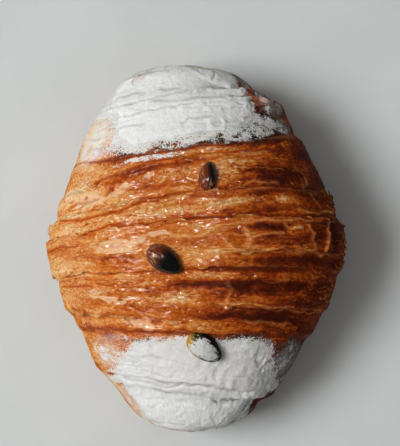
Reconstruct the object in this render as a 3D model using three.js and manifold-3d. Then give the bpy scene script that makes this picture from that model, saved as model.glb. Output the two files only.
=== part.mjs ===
// A pistachio croissant: one straight, fat roll of laminated dough, baked and glazed, with three shelled
// pistachio kernels set in its crown. Millimetres, +Z up. The roll lies along Y on its flat foot at Z = 0,
// and the origin is on that foot, under the middle of the roll's length and width.
import * as THREE from "three";
import { mergeVertices } from "three/addons/utils/BufferGeometryUtils.js";
import Module from "manifold-3d";

const wasm = await Module();
wasm.setup();

// Driving sizes of the roll.
const LENGTH = 140;
const WIDTH = 111.3;
const HEIGHT = 68;

// The plan outline narrows by a power law that would reach a point past each end, and ends blunt before it.
const POINT_DISTANCE = { low: 89.5, high: 98 };
const NARROWING_POWER = 1.5;
const END_BLUNTNESS = 22;
// Both ends were laid on the tray a little to one side of the roll's own line.
const END_SWAY = { low: -1.6, high: -5.4 };
// The belly is the level where a section is widest: high in the middle, low at the two ends.
const BELLY_HEIGHT = 28;
const END_BELLY_HEIGHT = 20;
// The underside would reach this far below the tray if the dough had not spread flat on it.
const SPREAD_DEPTH = 3;
// How fast the sections lose height and depth towards the ends, as powers of their width.
const CROWN_POWER = 0.8;
const UNDERSIDE_POWER = 0.5;
// The lower half of a section is squarer than an ellipse.
const UNDERSIDE_SQUARENESS = 0.82;

// The edge of the dough triangle crosses the crown once for each turn of the roll. "at" is where it does
// so, measured along the roll from its middle, "lean" is how far it runs along the roll for each millimetre
// across, and "bow" is how far it has moved along the roll where it comes down both flanks. "step" is how
// far the crust drops there, always on the side away from the middle. An edge with "from" or "to", degrees
// from the crown, shows only from or up to there, and is rolled under its neighbour beyond that.
const TURNS = [
  { name: "low_tip", at: -53.3, lean: -0.12, bow: -0.4, step: 5.1 },
  { name: "low_tip_inner", at: -49.8, lean: -0.12, bow: 0, step: 1.4 },
  { name: "low_sugar", at: -31.2, lean: -0.03, bow: -1.3, step: 1.7 },
  { name: "low_left", at: -27.5, lean: -0.07, bow: 0, step: 2.1, to: -4 },
  { name: "low_right", at: -21.5, lean: -0.06, bow: 0, step: 2.1, from: 8 },
  { name: "belly_low", at: -8.7, lean: 0.02, bow: -2, step: 1.6 },
  { name: "panel_foot", at: -3.8, lean: 0.03, bow: -1, step: 1.1, from: 10, to: 75 },
  { name: "belly_high", at: 8.8, lean: 0.07, bow: -3, step: 2 },
  { name: "shoulder", at: 18.2, lean: 0.11, bow: -4.5, step: 2.2 },
  { name: "left_ear", at: 25.5, lean: 0.125, bow: -2, step: 2, to: -58 },
  { name: "high_sugar_inner", at: 31, lean: 0.13, bow: 0, step: 0.9, from: -25, to: 45 },
  { name: "high_sugar", at: 35.3, lean: 0.14, bow: 1, step: 2.1 },
  { name: "high_tip_inner", at: 52.8, lean: 0.08, bow: 0, step: 2.4 },
  { name: "high_tip", at: 57.3, lean: 0.08, bow: -2.4, step: 5.6 },
];
const TURN_RISE = 7;
const TURN_FALL = 4;
// An edge that ends part of the way round fades out over this many degrees.
const EDGE_FADE = 6;

// Between the turns the puffed layers show as lower terraces, one every few millimetres.
const LAYER_SPACING = 4.3;
const LAYER_STEP = 0.9;
const LAYER_RISE = 2.2;
const LAYER_FALL = 1.4;
const LAYER_JITTER = 0.28;
const LAYER_JITTER_TURN = 2.4;
const LAYER_EVENNESS = 0.65;
// The relief fades out on the underside, between these two heights on a section of unit radius.
const RELIEF_GONE = -0.75;
const RELIEF_FULL = -0.1;

// Where the outermost skin has lifted: a stretch of one turn's edge, between two angles from the crown.
const LIFTED_SKIN = [
  { turn: "belly_high", from: 8, to: 72, lift: 1.1 },
  { turn: "shoulder", from: -98, to: -62, lift: 1.6 },
  { turn: "belly_low", from: -100, to: -78, lift: 1.2 },
  { turn: "low_right", from: 58, to: 96, lift: 1.2 },
  { turn: "high_tip_inner", from: 48, to: 88, lift: 3.4 },
  { turn: "high_sugar", from: -60, to: -20, lift: 0.6 },
];

// The facets: rows follow the layer lines, and columns are closer together on the upper side.
const SCARP_HALF_WIDTH = 0.3;
const WIDEST_ROW_GAP = 2.6;
const END_ROWS = [66.4, 68, 69.1, 69.7];
const FURTHEST_SECTION = 69.9;
const UPPER_COLUMNS = 32;
const LOWER_COLUMNS = 12;
const UPPER_SPAN = THREE.MathUtils.degToRad(240);

// A shelled kernel, and where the three lie: across and along the roll, with the heading of the long axis.
const KERNEL = { length: 14.6, width: 9.2, thickness: 8.2 };
const KERNEL_TAPER = 0.16;
const KERNEL_SEAM_DEPTH = 0.35;
const KERNEL_SEAM_WIDTH = 0.16;
const KERNEL_SINK = 3.2;
const KERNEL_CLEARANCE = 0.3;
const KERNEL_FACETS = { round: 22, along: 13 };
const KERNELS = [
  { name: "pistachio_upper", across: 4.4, along: 24.2, heading: 82, roll: 20, scale: 0.74 },
  { name: "pistachio_middle", across: -10.7, along: -5.2, heading: -35, roll: -12, scale: 0.96 },
  { name: "pistachio_sugared", across: 3.1, along: -36, heading: -38, roll: 8, scale: 0.98 },
];

// Corners closer together than this are one corner.
const WELD_DISTANCE = 1e-4;

const CRUST = new THREE.MeshStandardMaterial({ color: 0xb9692e, roughness: 0.42, metalness: 0 });
const KERNEL_SKIN = new THREE.MeshStandardMaterial({ color: 0x4a3420, roughness: 0.35, metalness: 0 });
const SUGARED_SKIN = new THREE.MeshStandardMaterial({ color: 0xb9b6a4, roughness: 0.9, metalness: 0 });

// The roll's sections

// What one end of the roll states, for a place along it.
function endOf(values, along) {
  return along < 0 ? values.low : values.high;
}

function widthShare(along) {
  const reach = Math.min(Math.abs(along), FURTHEST_SECTION);
  const narrowed = 1 - (reach / endOf(POINT_DISTANCE, along)) ** NARROWING_POWER;
  return narrowed * Math.sqrt(1 - (reach / (LENGTH / 2)) ** END_BLUNTNESS);
}

function sectionAt(along) {
  const share = widthShare(along);
  return {
    halfWidth: (WIDTH / 2) * share,
    belly: END_BELLY_HEIGHT + (BELLY_HEIGHT - END_BELLY_HEIGHT) * share,
    rise: (HEIGHT - BELLY_HEIGHT) * share ** CROWN_POWER,
    depth: (BELLY_HEIGHT + SPREAD_DEPTH) * share ** UNDERSIDE_POWER,
  };
}

// How far the middle of a section lies to one side.
function swayAt(along) {
  return endOf(END_SWAY, along) * (along / (LENGTH / 2)) ** 2;
}

// The lines that the layers follow

function outward(at) {
  return at < 0 ? -1 : 1;
}

// Between two turns, what they state for their edges changes evenly from one to the other.
function turnValueAt(key, along) {
  const after = TURNS.findIndex((turn) => turn.at > along);
  if (after === 0) return TURNS[0][key];
  if (after < 0) return TURNS[TURNS.length - 1][key];
  const [low, high] = [TURNS[after - 1], TURNS[after]];
  return THREE.MathUtils.mapLinear(along, low.at, high.at, low[key], high[key]);
}

function layersBetween(low, high) {
  const count = Math.max(0, Math.round((high - low) / LAYER_SPACING) - 1);
  const gap = (high - low) / (count + 1);
  return Array.from({ length: count }, (_, k) => {
    const jitter = LAYER_JITTER * Math.sin(LAYER_JITTER_TURN * (low + k));
    return low + gap * (k + 1 + jitter);
  });
}

function layerLines() {
  const ends = [-LENGTH / 2, ...TURNS.map((turn) => turn.at), LENGTH / 2];
  const turns = TURNS.map((turn) => ({ ...turn, rise: TURN_RISE, fall: TURN_FALL }));
  const layers = ends.slice(1).flatMap((high, k) =>
    layersBetween(ends[k], high).map((at) => ({ at, step: LAYER_STEP, rise: LAYER_RISE, fall: LAYER_FALL })),
  );
  return [...turns, ...layers].sort((a, b) => a.at - b.at);
}

const LINES = layerLines();

// The crust's surface

// A scarp climbs to a lip, drops at zero and then climbs out of its own groove.
function scarp(distance, rise, fall) {
  const side = distance < 0 ? Math.exp(distance / rise) : -Math.exp(-distance / fall);
  return side / 2;
}

function stepOf(line, angle) {
  if (line.name === undefined) {
    const uneven = (1 - LAYER_EVENNESS) * Math.sin(2 * angle + line.at);
    return line.step * (LAYER_EVENNESS + uneven);
  }
  const { smoothstep, radToDeg } = THREE.MathUtils;
  const { from = -Infinity, to = Infinity } = line;
  const degrees = radToDeg(angle);
  const shown = smoothstep(degrees - from, 0, EDGE_FADE) * smoothstep(to - degrees, 0, EDGE_FADE);
  const covers = (skin) => skin.turn === line.name && degrees > skin.from && degrees < skin.to;
  return shown * LIFTED_SKIN.filter(covers).reduce((step, skin) => step + skin.lift, line.step);
}

function relief(row, angle) {
  const onFlank = THREE.MathUtils.smoothstep(Math.cos(angle), RELIEF_GONE, RELIEF_FULL);
  const height = LINES.reduce((sum, line) => {
    const distance = (row - line.at) * outward(line.at);
    return sum + stepOf(line, angle) * scarp(distance, line.rise, line.fall);
  }, 0);
  return onFlank * height;
}

// A point of the crust. The row is where its layer line crosses the crown, and the angle is from the crown.
function crustPoint(row, angle) {
  const across = Math.sin(angle);
  const up = Math.cos(angle);
  const leaned = turnValueAt("lean", row) * sectionAt(row).halfWidth * across;
  const bowed = turnValueAt("bow", row) * widthShare(row) * across ** 2;
  const along = row + leaned + bowed;
  const section = sectionAt(along);
  const upper = up >= 0;
  const vertical = upper ? section.rise : section.depth;
  const squared = (share) => (upper ? share : Math.sign(share) * Math.abs(share) ** UNDERSIDE_SQUARENESS);
  const point = new THREE.Vector3(
    swayAt(along) + section.halfWidth * squared(across),
    along,
    section.belly + vertical * squared(up),
  );
  const normal = new THREE.Vector3(across / section.halfWidth, 0, up / vertical).normalize();
  return point.addScaledVector(normal, relief(row, angle));
}

function rowsOfRoll() {
  const edges = LINES.flatMap((line) => [line.at - SCARP_HALF_WIDTH, line.at + SCARP_HALF_WIDTH]);
  const firstEndRow = END_ROWS[0];
  const between = edges.filter((row) => Math.abs(row) < firstEndRow);
  const fixed = [...END_ROWS.map((row) => -row).reverse(), ...between, ...END_ROWS];
  return fixed.flatMap((row, k) => {
    if (k === 0) return [row];
    const gap = row - fixed[k - 1];
    const parts = Math.ceil(gap / WIDEST_ROW_GAP);
    return Array.from({ length: parts }, (_, part) => fixed[k - 1] + (gap * (part + 1)) / parts);
  });
}

function anglesOfRoll() {
  const lowerSpan = 2 * Math.PI - UPPER_SPAN;
  const upper = Array.from({ length: UPPER_COLUMNS }, (_, k) => (k / UPPER_COLUMNS - 0.5) * UPPER_SPAN);
  const lower = Array.from({ length: LOWER_COLUMNS }, (_, k) => (k / LOWER_COLUMNS) * lowerSpan);
  return [...upper, ...lower.map((angle) => UPPER_SPAN / 2 + angle)];
}

// The skin of the roll: rings of points along the rows, closed by a point at each end.
function rollGeometry() {
  const rows = rowsOfRoll();
  const angles = anglesOfRoll();
  const columns = angles.length;
  const points = rows.flatMap((row) => angles.map((angle) => crustPoint(row, angle)));
  const firstEnd = points.length;
  for (const end of [-LENGTH / 2, LENGTH / 2]) {
    points.push(new THREE.Vector3(swayAt(end), end, END_BELLY_HEIGHT));
  }
  const faces = [];
  for (let column = 0; column < columns; column++) {
    const next = (column + 1) % columns;
    const lastRow = (rows.length - 1) * columns;
    faces.push(firstEnd, next, column);
    faces.push(firstEnd + 1, lastRow + column, lastRow + next);
    for (let row = 0; row < rows.length - 1; row++) {
      const here = row * columns;
      const there = here + columns;
      faces.push(here + column, there + next, there + column);
      faces.push(here + column, here + next, there + next);
    }
  }
  const geometry = new THREE.BufferGeometry().setFromPoints(points).setIndex(faces);
  geometry.computeBoundingBox();
  const centre = geometry.boundingBox.getCenter(new THREE.Vector3());
  return geometry.translate(-centre.x, -centre.y, 0);
}

// Solids

function solidOf(geometry) {
  const bare = geometry.clone();
  bare.deleteAttribute("normal");
  bare.deleteAttribute("uv");
  const merged = mergeVertices(bare, WELD_DISTANCE);
  return new wasm.Manifold(
    new wasm.Mesh({
      numProp: 3,
      vertProperties: new Float32Array(merged.attributes.position.array),
      triVerts: new Uint32Array(merged.index.array),
    }),
  );
}

function geometryOf(solid) {
  const mesh = solid.getMesh();
  const geometry = new THREE.BufferGeometry();
  geometry.setAttribute("position", new THREE.BufferAttribute(mesh.vertProperties, mesh.numProp));
  geometry.setIndex(new THREE.BufferAttribute(mesh.triVerts, 1));
  geometry.computeVertexNormals();
  return geometry;
}

// Everything below the tray is cut off, which leaves the flat foot.
function underTray() {
  return new THREE.BoxGeometry(2 * WIDTH, 2 * LENGTH, HEIGHT).translate(0, 0, -HEIGHT / 2);
}

// A kernel: blunt at one end, tapered at the other, with the seam between its two halves along each side.
function kernelGeometry(grow) {
  const geometry = new THREE.SphereGeometry(1, KERNEL_FACETS.round, KERNEL_FACETS.along);
  geometry.rotateZ(Math.PI / 2);
  const position = geometry.attributes.position;
  const seam = (height) => KERNEL_SEAM_DEPTH * Math.exp(-((height / KERNEL_SEAM_WIDTH) ** 2));
  for (let k = 0; k < position.count; k++) {
    const [x, y, z] = [position.getX(k), position.getY(k), position.getZ(k)];
    const taper = 1 - KERNEL_TAPER * x;
    const seamed = grow ? 0 : seam(z) * (1 - x * x);
    position.setXYZ(
      k,
      x * (KERNEL.length / 2 + grow),
      y * (taper * (KERNEL.width / 2 - seamed) + grow),
      z * (taper * (KERNEL.thickness / 2) + grow),
    );
  }
  return geometry;
}

const ACROSS = new THREE.Vector3(1, 0, 0);
const UP = new THREE.Vector3(0, 0, 1);
const DOWN = new THREE.Vector3(0, 0, -1);

// How high the crust stands at a place, found by looking straight down on it.
function crustHeight(roll, across, along) {
  const eye = new THREE.Vector3(across, along, 2 * HEIGHT);
  const sight = new THREE.Raycaster(eye, DOWN);
  return sight.intersectObject(roll)[0].point.z;
}

// A kernel lies along its heading, tipped to the slope of the crust under it and sunk a little into it.
function placeKernel(roll, { across, along, heading, roll: rolled, scale }) {
  const reach = KERNEL.width / 2;
  const heightAt = (x, y) => crustHeight(roll, across + x, along + y);
  const slopeX = (heightAt(reach, 0) - heightAt(-reach, 0)) / (2 * reach);
  const slopeY = (heightAt(0, reach) - heightAt(0, -reach)) / (2 * reach);
  const normal = new THREE.Vector3(-slopeX, -slopeY, 1).normalize();
  const turnedBy = (axis, degrees) =>
    new THREE.Quaternion().setFromAxisAngle(axis, THREE.MathUtils.degToRad(degrees));
  const turn = new THREE.Quaternion().setFromUnitVectors(UP, normal);
  turn.multiply(turnedBy(UP, heading)).multiply(turnedBy(ACROSS, rolled));
  const lift = (KERNEL.thickness / 2) * scale - KERNEL_SINK;
  const place = new THREE.Vector3(across, along, heightAt(0, 0)).addScaledVector(normal, lift);
  return new THREE.Matrix4().compose(place, turn, new THREE.Vector3().setScalar(scale));
}

function meshOf(name, geometry, material) {
  const mesh = new THREE.Mesh(geometry, material);
  mesh.name = name;
  return mesh;
}

const bareRoll = new THREE.Mesh(rollGeometry());
const places = KERNELS.map((kernel) => placeKernel(bareRoll, kernel));
const seats = places.map((place) => solidOf(kernelGeometry(KERNEL_CLEARANCE).applyMatrix4(place)));
const rollOnTray = solidOf(bareRoll.geometry).subtract(solidOf(underTray()));
const seatedRoll = seats.reduce((solid, seat) => solid.subtract(seat), rollOnTray);

const croissant = new THREE.Group();
croissant.add(meshOf("croissant", geometryOf(seatedRoll), CRUST));
KERNELS.forEach((kernel, k) => {
  const skin = kernel.name === "pistachio_sugared" ? SUGARED_SKIN : KERNEL_SKIN;
  const mesh = meshOf(kernel.name, kernelGeometry(0), skin);
  mesh.applyMatrix4(places[k]);
  croissant.add(mesh);
});

export default croissant;
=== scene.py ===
# A pistachio croissant: a straight, fat roll of laminated dough, baked and glazed, with icing sugar sifted
# over both ends and three shelled pistachio kernels along its crown. Sizes are in millimetres until a mesh
# is made.
import math
import bpy
import numpy as np
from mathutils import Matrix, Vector, noise


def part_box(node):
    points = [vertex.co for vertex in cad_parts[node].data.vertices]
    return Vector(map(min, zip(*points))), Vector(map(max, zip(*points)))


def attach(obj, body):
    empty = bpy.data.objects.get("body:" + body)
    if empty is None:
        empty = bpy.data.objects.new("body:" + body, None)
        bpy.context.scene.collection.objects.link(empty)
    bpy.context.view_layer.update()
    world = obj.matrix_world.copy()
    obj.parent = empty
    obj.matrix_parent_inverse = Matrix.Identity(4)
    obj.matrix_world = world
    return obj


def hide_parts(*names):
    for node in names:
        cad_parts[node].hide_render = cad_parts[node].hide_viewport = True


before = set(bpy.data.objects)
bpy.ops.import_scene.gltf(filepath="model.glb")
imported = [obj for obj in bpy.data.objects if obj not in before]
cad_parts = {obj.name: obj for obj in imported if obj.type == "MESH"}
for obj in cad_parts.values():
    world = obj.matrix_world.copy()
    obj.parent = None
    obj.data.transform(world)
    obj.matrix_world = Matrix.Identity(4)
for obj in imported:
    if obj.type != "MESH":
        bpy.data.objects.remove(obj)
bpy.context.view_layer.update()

# The roll
# A triangle of yeast dough laminated with butter, rolled up from its base and baked. It is one piece: the
# edges of its turns, and of the puffed leaves of dough between them, run round it as lips and grooves.
MM = 0.001
ROLL_LENGTH = 140.0
ROLL_WIDTH = 111.3
ROLL_HEIGHT = 68.0
LOW_POINT_DISTANCE = 89.5
HIGH_POINT_DISTANCE = 98.0
NARROWING_POWER = 1.5
END_BLUNTNESS = 22
LOW_END_SWAY = -1.6
HIGH_END_SWAY = -5.4
BELLY_HEIGHT = 28.0
END_BELLY_HEIGHT = 20.0
SPREAD_DEPTH = 3.0
CROWN_POWER = 0.8
UNDERSIDE_POWER = 0.5
UNDERSIDE_SQUARENESS = 0.82
SMALLEST_SHARE = 1e-6

# Each turn's edge: where it crosses the crown, how far it leans along the roll for each millimetre across,
# how far it has moved along the roll on both flanks, how deep it steps down, and the angles between which it
# shows.
TURN_EDGES = [
    dict(at=-53.3, lean=-0.12, bow=-0.4, step=5.1, shows=(-180, 180)),
    dict(at=-49.8, lean=-0.12, bow=0, step=1.4, shows=(-180, 180)),
    dict(at=-31.2, lean=-0.03, bow=-1.3, step=1.7, shows=(-180, 180)),
    dict(at=-27.5, lean=-0.07, bow=0, step=2.1, shows=(-180, -4)),
    dict(at=-21.5, lean=-0.06, bow=0, step=2.1, shows=(8, 180)),
    dict(at=-8.7, lean=0.02, bow=-2, step=1.6, shows=(-180, 180)),
    dict(at=-3.8, lean=0.03, bow=-1, step=1.1, shows=(10, 75)),
    dict(at=8.8, lean=0.07, bow=-3, step=2, shows=(-180, 180)),
    dict(at=18.2, lean=0.11, bow=-4.5, step=2.2, shows=(-180, 180)),
    dict(at=25.5, lean=0.125, bow=-2, step=2, shows=(-180, -58)),
    dict(at=31, lean=0.13, bow=0, step=0.9, shows=(-25, 45)),
    dict(at=35.3, lean=0.14, bow=1, step=2.1, shows=(-180, 180)),
    dict(at=52.8, lean=0.08, bow=0, step=2.4, shows=(-180, 180)),
    dict(at=57.3, lean=0.08, bow=-2.4, step=5.6, shows=(-180, 180)),
]
EDGE_FADE = 6.0
EDGE_RISE = 7.0
EDGE_FALL = 4.0
TIPS_FROM = 52.0
# Stretches of an edge where the outermost skin has lifted: the edge's place, two angles and the lift.
LIFTED_SKIN = [
    (8.8, 8, 72, 1.1),
    (18.2, -98, -62, 1.6),
    (-8.7, -100, -78, 1.2),
    (-21.5, 58, 96, 1.2),
    (52.8, 48, 88, 3.4),
    (35.3, -60, -20, 0.6),
]
# The terraces between the turns.
TERRACE_SPACING = 4.3
TERRACE_STEP = 0.9
TERRACE_RISE = 2.2
TERRACE_FALL = 1.4
TERRACE_JITTER = 0.28
TERRACE_JITTER_TURN = 2.4
TERRACE_EVENNESS = 0.65
RELIEF_GONE = -0.75
RELIEF_FULL = -0.1


def smooth_ramp(value, low, high):
    share = np.clip((value - low) / (high - low), 0, 1)
    return share * share * (3 - 2 * share)


def width_share(along):
    reach = np.minimum(np.abs(along), ROLL_LENGTH / 2)
    point_distance = np.where(along < 0, LOW_POINT_DISTANCE, HIGH_POINT_DISTANCE)
    narrowed = 1 - (reach / point_distance) ** NARROWING_POWER
    blunt = np.sqrt(1 - (reach / (ROLL_LENGTH / 2)) ** END_BLUNTNESS)
    return np.maximum(narrowed * blunt, SMALLEST_SHARE)


def terrace_places():
    ends = [-ROLL_LENGTH / 2, *(edge["at"] for edge in TURN_EDGES), ROLL_LENGTH / 2]
    places = []
    for low, high in zip(ends, ends[1:]):
        count = max(0, round((high - low) / TERRACE_SPACING) - 1)
        gap = (high - low) / (count + 1)
        for k in range(count):
            places.append(low + gap * (k + 1 + TERRACE_JITTER * math.sin(TERRACE_JITTER_TURN * (low + k))))
    return places


def scarp(row, at, rise, fall, softness):
    beyond = (row - at) * (-1 if at < 0 else 1)
    lip = np.exp(np.minimum(beyond, 0) / rise)
    groove = -np.exp(-np.maximum(beyond, 0) / fall)
    return (lip + (groove - lip) * smooth_ramp(beyond, -softness, softness)) / 2


def between(degrees, first, last):
    if (first, last) == (-180, 180):
        return 1.0
    return smooth_ramp(degrees, first, first + EDGE_FADE) * smooth_ramp(-degrees, -last, -last + EDGE_FADE)


def edge_relief(row, angle, softness, tip_softness, share):
    degrees = np.degrees(angle)
    turns = np.zeros(np.broadcast(row, angle).shape)
    terraces = np.zeros(turns.shape)
    for number, edge in enumerate(TURN_EDGES):
        step = edge["step"] * between(degrees, *edge["shows"])
        for at, first, last, lift in LIFTED_SKIN:
            if at == edge["at"]:
                step = step + lift * between(degrees, first, last)
        edge_softness = tip_softness if abs(edge["at"]) > TIPS_FROM else softness
        turns += share(number) * step * scarp(row, edge["at"], EDGE_RISE, EDGE_FALL, edge_softness)
    for at in terrace_places():
        step = TERRACE_STEP * (TERRACE_EVENNESS + (1 - TERRACE_EVENNESS) * np.sin(2 * angle + at))
        terraces += step * scarp(row, at, TERRACE_RISE, TERRACE_FALL, softness)
    shown = smooth_ramp(np.cos(angle), RELIEF_GONE, RELIEF_FULL)
    return turns * shown, terraces * shown


def roll_surface(row, angle, relief, wander):
    across = np.sin(angle)
    up = np.cos(angle)
    places = [edge["at"] for edge in TURN_EDGES]
    lean = np.interp(row, places, [edge["lean"] for edge in TURN_EDGES])
    bow = np.interp(row, places, [edge["bow"] for edge in TURN_EDGES])
    along = row + width_share(row) * (lean * ROLL_WIDTH / 2 * across + bow * across ** 2) + wander
    share = width_share(along)
    half_width = ROLL_WIDTH / 2 * share
    rise = (ROLL_HEIGHT - BELLY_HEIGHT) * share ** CROWN_POWER
    depth = (BELLY_HEIGHT + SPREAD_DEPTH) * share ** UNDERSIDE_POWER
    belly = END_BELLY_HEIGHT + (BELLY_HEIGHT - END_BELLY_HEIGHT) * share
    upper = up >= 0
    vertical = np.where(upper, rise, depth)
    squareness = np.where(upper, 1, UNDERSIDE_SQUARENESS)
    sway = np.where(along < 0, LOW_END_SWAY, HIGH_END_SWAY) * (along / (ROLL_LENGTH / 2)) ** 2
    out_x = across / half_width
    out_z = up / vertical
    steep = np.hypot(out_x, out_z)
    x = sway + half_width * np.sign(across) * np.abs(across) ** squareness + relief * out_x / steep
    z = belly + vertical * np.sign(up) * np.abs(up) ** squareness + relief * out_z / steep
    return np.stack(np.broadcast_arrays(x, along, z), -1)


# The rows of the mesh follow the layer lines, with a pair of rows at each edge, and close in rings.
ROW_GAP = 0.43
EDGE_HALF_GAP = 0.2
SHOULDER = 66.0
END_RINGS = 34
OUTER_RING_SHARE = 0.84
UPPER_ANGLE = math.radians(104)
UPPER_COLUMNS = 230
LOWER_COLUMNS = 32

line_places = [edge["at"] for edge in TURN_EDGES] + [at for at in terrace_places() if abs(at) < SHOULDER]
beside_lines = np.array([at + side for at in line_places for side in (-EDGE_HALF_GAP, EDGE_HALF_GAP)])
even_rows = np.arange(-SHOULDER, SHOULDER, ROW_GAP)
even_rows = even_rows[np.abs(even_rows[:, None] - beside_lines).min(1) > EDGE_HALF_GAP]
ring_shares = np.linspace(OUTER_RING_SHARE, 0, END_RINGS)
ring_rows = ROLL_LENGTH / 2 * (1 - ring_shares ** 2) ** (1 / END_BLUNTNESS)
roll_rows = np.concatenate([-ring_rows[::-1], np.sort(np.concatenate([even_rows, beside_lines])), ring_rows])
lower_angles = np.linspace(UPPER_ANGLE, math.pi, LOWER_COLUMNS // 2 + 1)[1:]
upper_angles = np.linspace(-UPPER_ANGLE, UPPER_ANGLE, UPPER_COLUMNS)
roll_angles = np.concatenate([-lower_angles[::-1], upper_angles, lower_angles])

row = roll_rows[:, None]
angle = roll_angles[None, :]
degrees = np.degrees(angle)
grid_shape = (len(roll_rows), len(roll_angles))

# A place on the dough for patterns: two coordinates go round the roll, so that they close, and one goes
# along it. On the two end faces they run in to the middle.
GIRTH_RADIUS = 46.0
SEED_STEP = 31.7
end_share = np.minimum(width_share(row) / width_share(np.where(row < 0, -SHOULDER, SHOULDER)), 1)
girth = GIRTH_RADIUS * end_share
dough_place = np.stack(np.broadcast_arrays(girth * np.sin(angle), girth * np.cos(angle), row), -1)


def noise_at(places):
    values = [noise.noise(place) for place in places.reshape(-1, 3).tolist()]
    return np.array(values).reshape(places.shape[:-1])


def dough_noise(round_size, along_size, seed):
    return noise_at(dough_place / (round_size, round_size, along_size) + (0, 0, SEED_STEP * seed))


# Unevenness of several sizes: each by its strength, its sizes round and along the roll, and its seed.
def waves(*each):
    return sum(strength * dough_noise(*sizes_and_seed) for strength, *sizes_and_seed in each)


def bell(away, half_width):
    return np.exp(-(away / half_width) ** 2)


def patch(at_row, at_degrees, half_length, half_width):
    around = np.radians(degrees - at_degrees) * GIRTH_RADIUS / half_length
    along = (row - at_row) / half_width
    return np.exp(-(around ** 2 + along ** 2))


# Leaves of dough between the lines, each a thin step with an edge of its own that wanders and runs out.
LEAF_SPACING = 2.1
LEAF_STEP = 0.42
LEAF_TONE_SIZE = 24
LEAF_TONE_APART = 7.7
leaf_phase = np.abs(row) / LEAF_SPACING + waves((1.1, 34, 7, 1), (0.4, 9, 2.5, 2))
leaf = np.floor(leaf_phase)
within_leaf = leaf_phase - leaf
on_flanks = smooth_ramp(np.abs(degrees), 30, 70)
under_sugar = smooth_ramp(np.abs(row), 36, 42)
on_stubs = smooth_ramp(np.abs(row), 54, 59)
leaf_strength = np.clip(0.06 + 1.3 * dough_noise(22, 6, 3) + 0.1 * on_flanks + 0.35 * under_sugar, 0, 1.2)
leaf_strength = leaf_strength * (1 - 0.85 * on_stubs)
leaf_round = dough_place[..., :2] / LEAF_TONE_SIZE
leaf_tone = noise_at(np.concatenate([leaf_round, leaf[..., None] * LEAF_TONE_APART], -1))

# Creases in the skin, each by its depth, its darkness and its places as degrees from the crown and rows.
CREASES = [
    (0.55, 0.9, [(-67, 17.1), (-49, 15.3), (-37, 15.2), (-28, 16), (-22, 17.3), (-15, 17.8), (-9, 18.8)]),
    (0.45, 0.8, [(-45, 8.3), (-40, 9.3), (-34, 10.2), (-27, 9.6), (-14, 8.9), (-4, 8.6), (12, 9.4),
        (27, 10.4), (32, 11.5)]),
    (0.35, 0.6, [(-36, -3.6), (-29, -2.7), (-23, -4.6)]),
    (0.3, 0.5, [(-43, -14.1), (-30, -13.8), (-21, -12.6)]),
    (0.35, 0.5, [(-45, 27.7), (-36, 28.7), (-28, 28.3), (-18, 29.2), (-11, 29.2), (5, 29), (16, 29.8)]),
    (0.35, 0.55, [(-36, 24.3), (-35, 26.2), (-27, 27.6), (-16, 28)]),
    (0.45, 0.7, [(-2, 17), (15, 16), (29, 16.5), (45, 17.5), (52, 16.4)]),
    (0.5, 1, [(30, 19.2), (40, 19.3)]),
    (0.4, 0.7, [(-68, -26.3), (-50, -27.1), (-29, -26.7), (-15, -27), (-4, -27.6)]),
    (0.45, 0.85, [(7, -25), (20, -24.7), (37, -24.3), (60, -25.2)]),
    (0.4, 0.8, [(13, -21.6), (27, -22), (66, -22.1)]),
    (0.4, 0.95, [(0, -13.6), (12, -14.4), (24, -14.2), (36, -13.6), (50, -12.4)]),
    (0.3, 0.9, [(2, -8.9), (18, -9.2), (32, -9.1), (46, -9)]),
    (0.5, 0.8, [(-73, -30.8), (-42, -30.7), (-30, -31.6), (-16, -31), (-4, -30.1)]),
    (0.5, 0.9, [(-60, 20.6), (-50, 21.4), (-42, 21.8)]),
    (0.4, 0.7, [(-80, 2), (-62, 3.2), (-50, 2.6)]),
    (0.4, 0.7, [(-78, -16.2), (-60, -15), (-46, -15.6)]),
    (0.5, 0.95, [(-58, 35.4), (-33, 34.7), (-19, 34.1), (-7, 34), (3, 34.4), (16, 33.9), (30, 34.3),
        (55, 35)]),
    (0.4, 0.5, [(-83, 54), (-47, 53.4), (-24, 54.3), (-9, 56), (1, 56.3)]),
    (0.4, 0.55, [(-39, 49.4), (-23, 50), (-9, 50.9), (5, 52.1)]),
    (0.4, 0.5, [(9, 50.7), (19, 50.8), (33, 51.4), (47, 50.6)]),
    (0.4, 0.6, [(-50, 45.5), (-35, 45), (-25, 44.8)]),
    (0.5, 0.8, [(-5, 44.2), (-3, 44.4), (-1, 45.8), (3, 45.6), (12, 45.4)]),
    (0.4, 0.5, [(19, 47.4), (33, 48.3)]),
    (0.6, 0.8, [(43, 48.3), (82, 50.6)]),
    (0.5, 0.4, [(-36, -43.7), (-34, -46.3)]),
    (0.5, 0.5, [(-24, -45.2), (-25, -47.9), (-12, -47.8)]),
    (0.7, 0.45, [(-85, -49.1), (-61, -50.2), (-43, -51.5), (-22, -52.2), (-3, -50.8), (12, -50.3)]),
    (0.9, 0.8, [(11, -53.6), (14, -54), (20, -55.3)]),
    (0.4, 0.3, [(-23, -54.8), (-21, -59.8)]),
    (0.8, 0.6, [(22, 61.4), (31, 65), (42, 68)]),
    (0.8, 0.7, [(51, 61.1), (65, 66.1)]),
]
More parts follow.
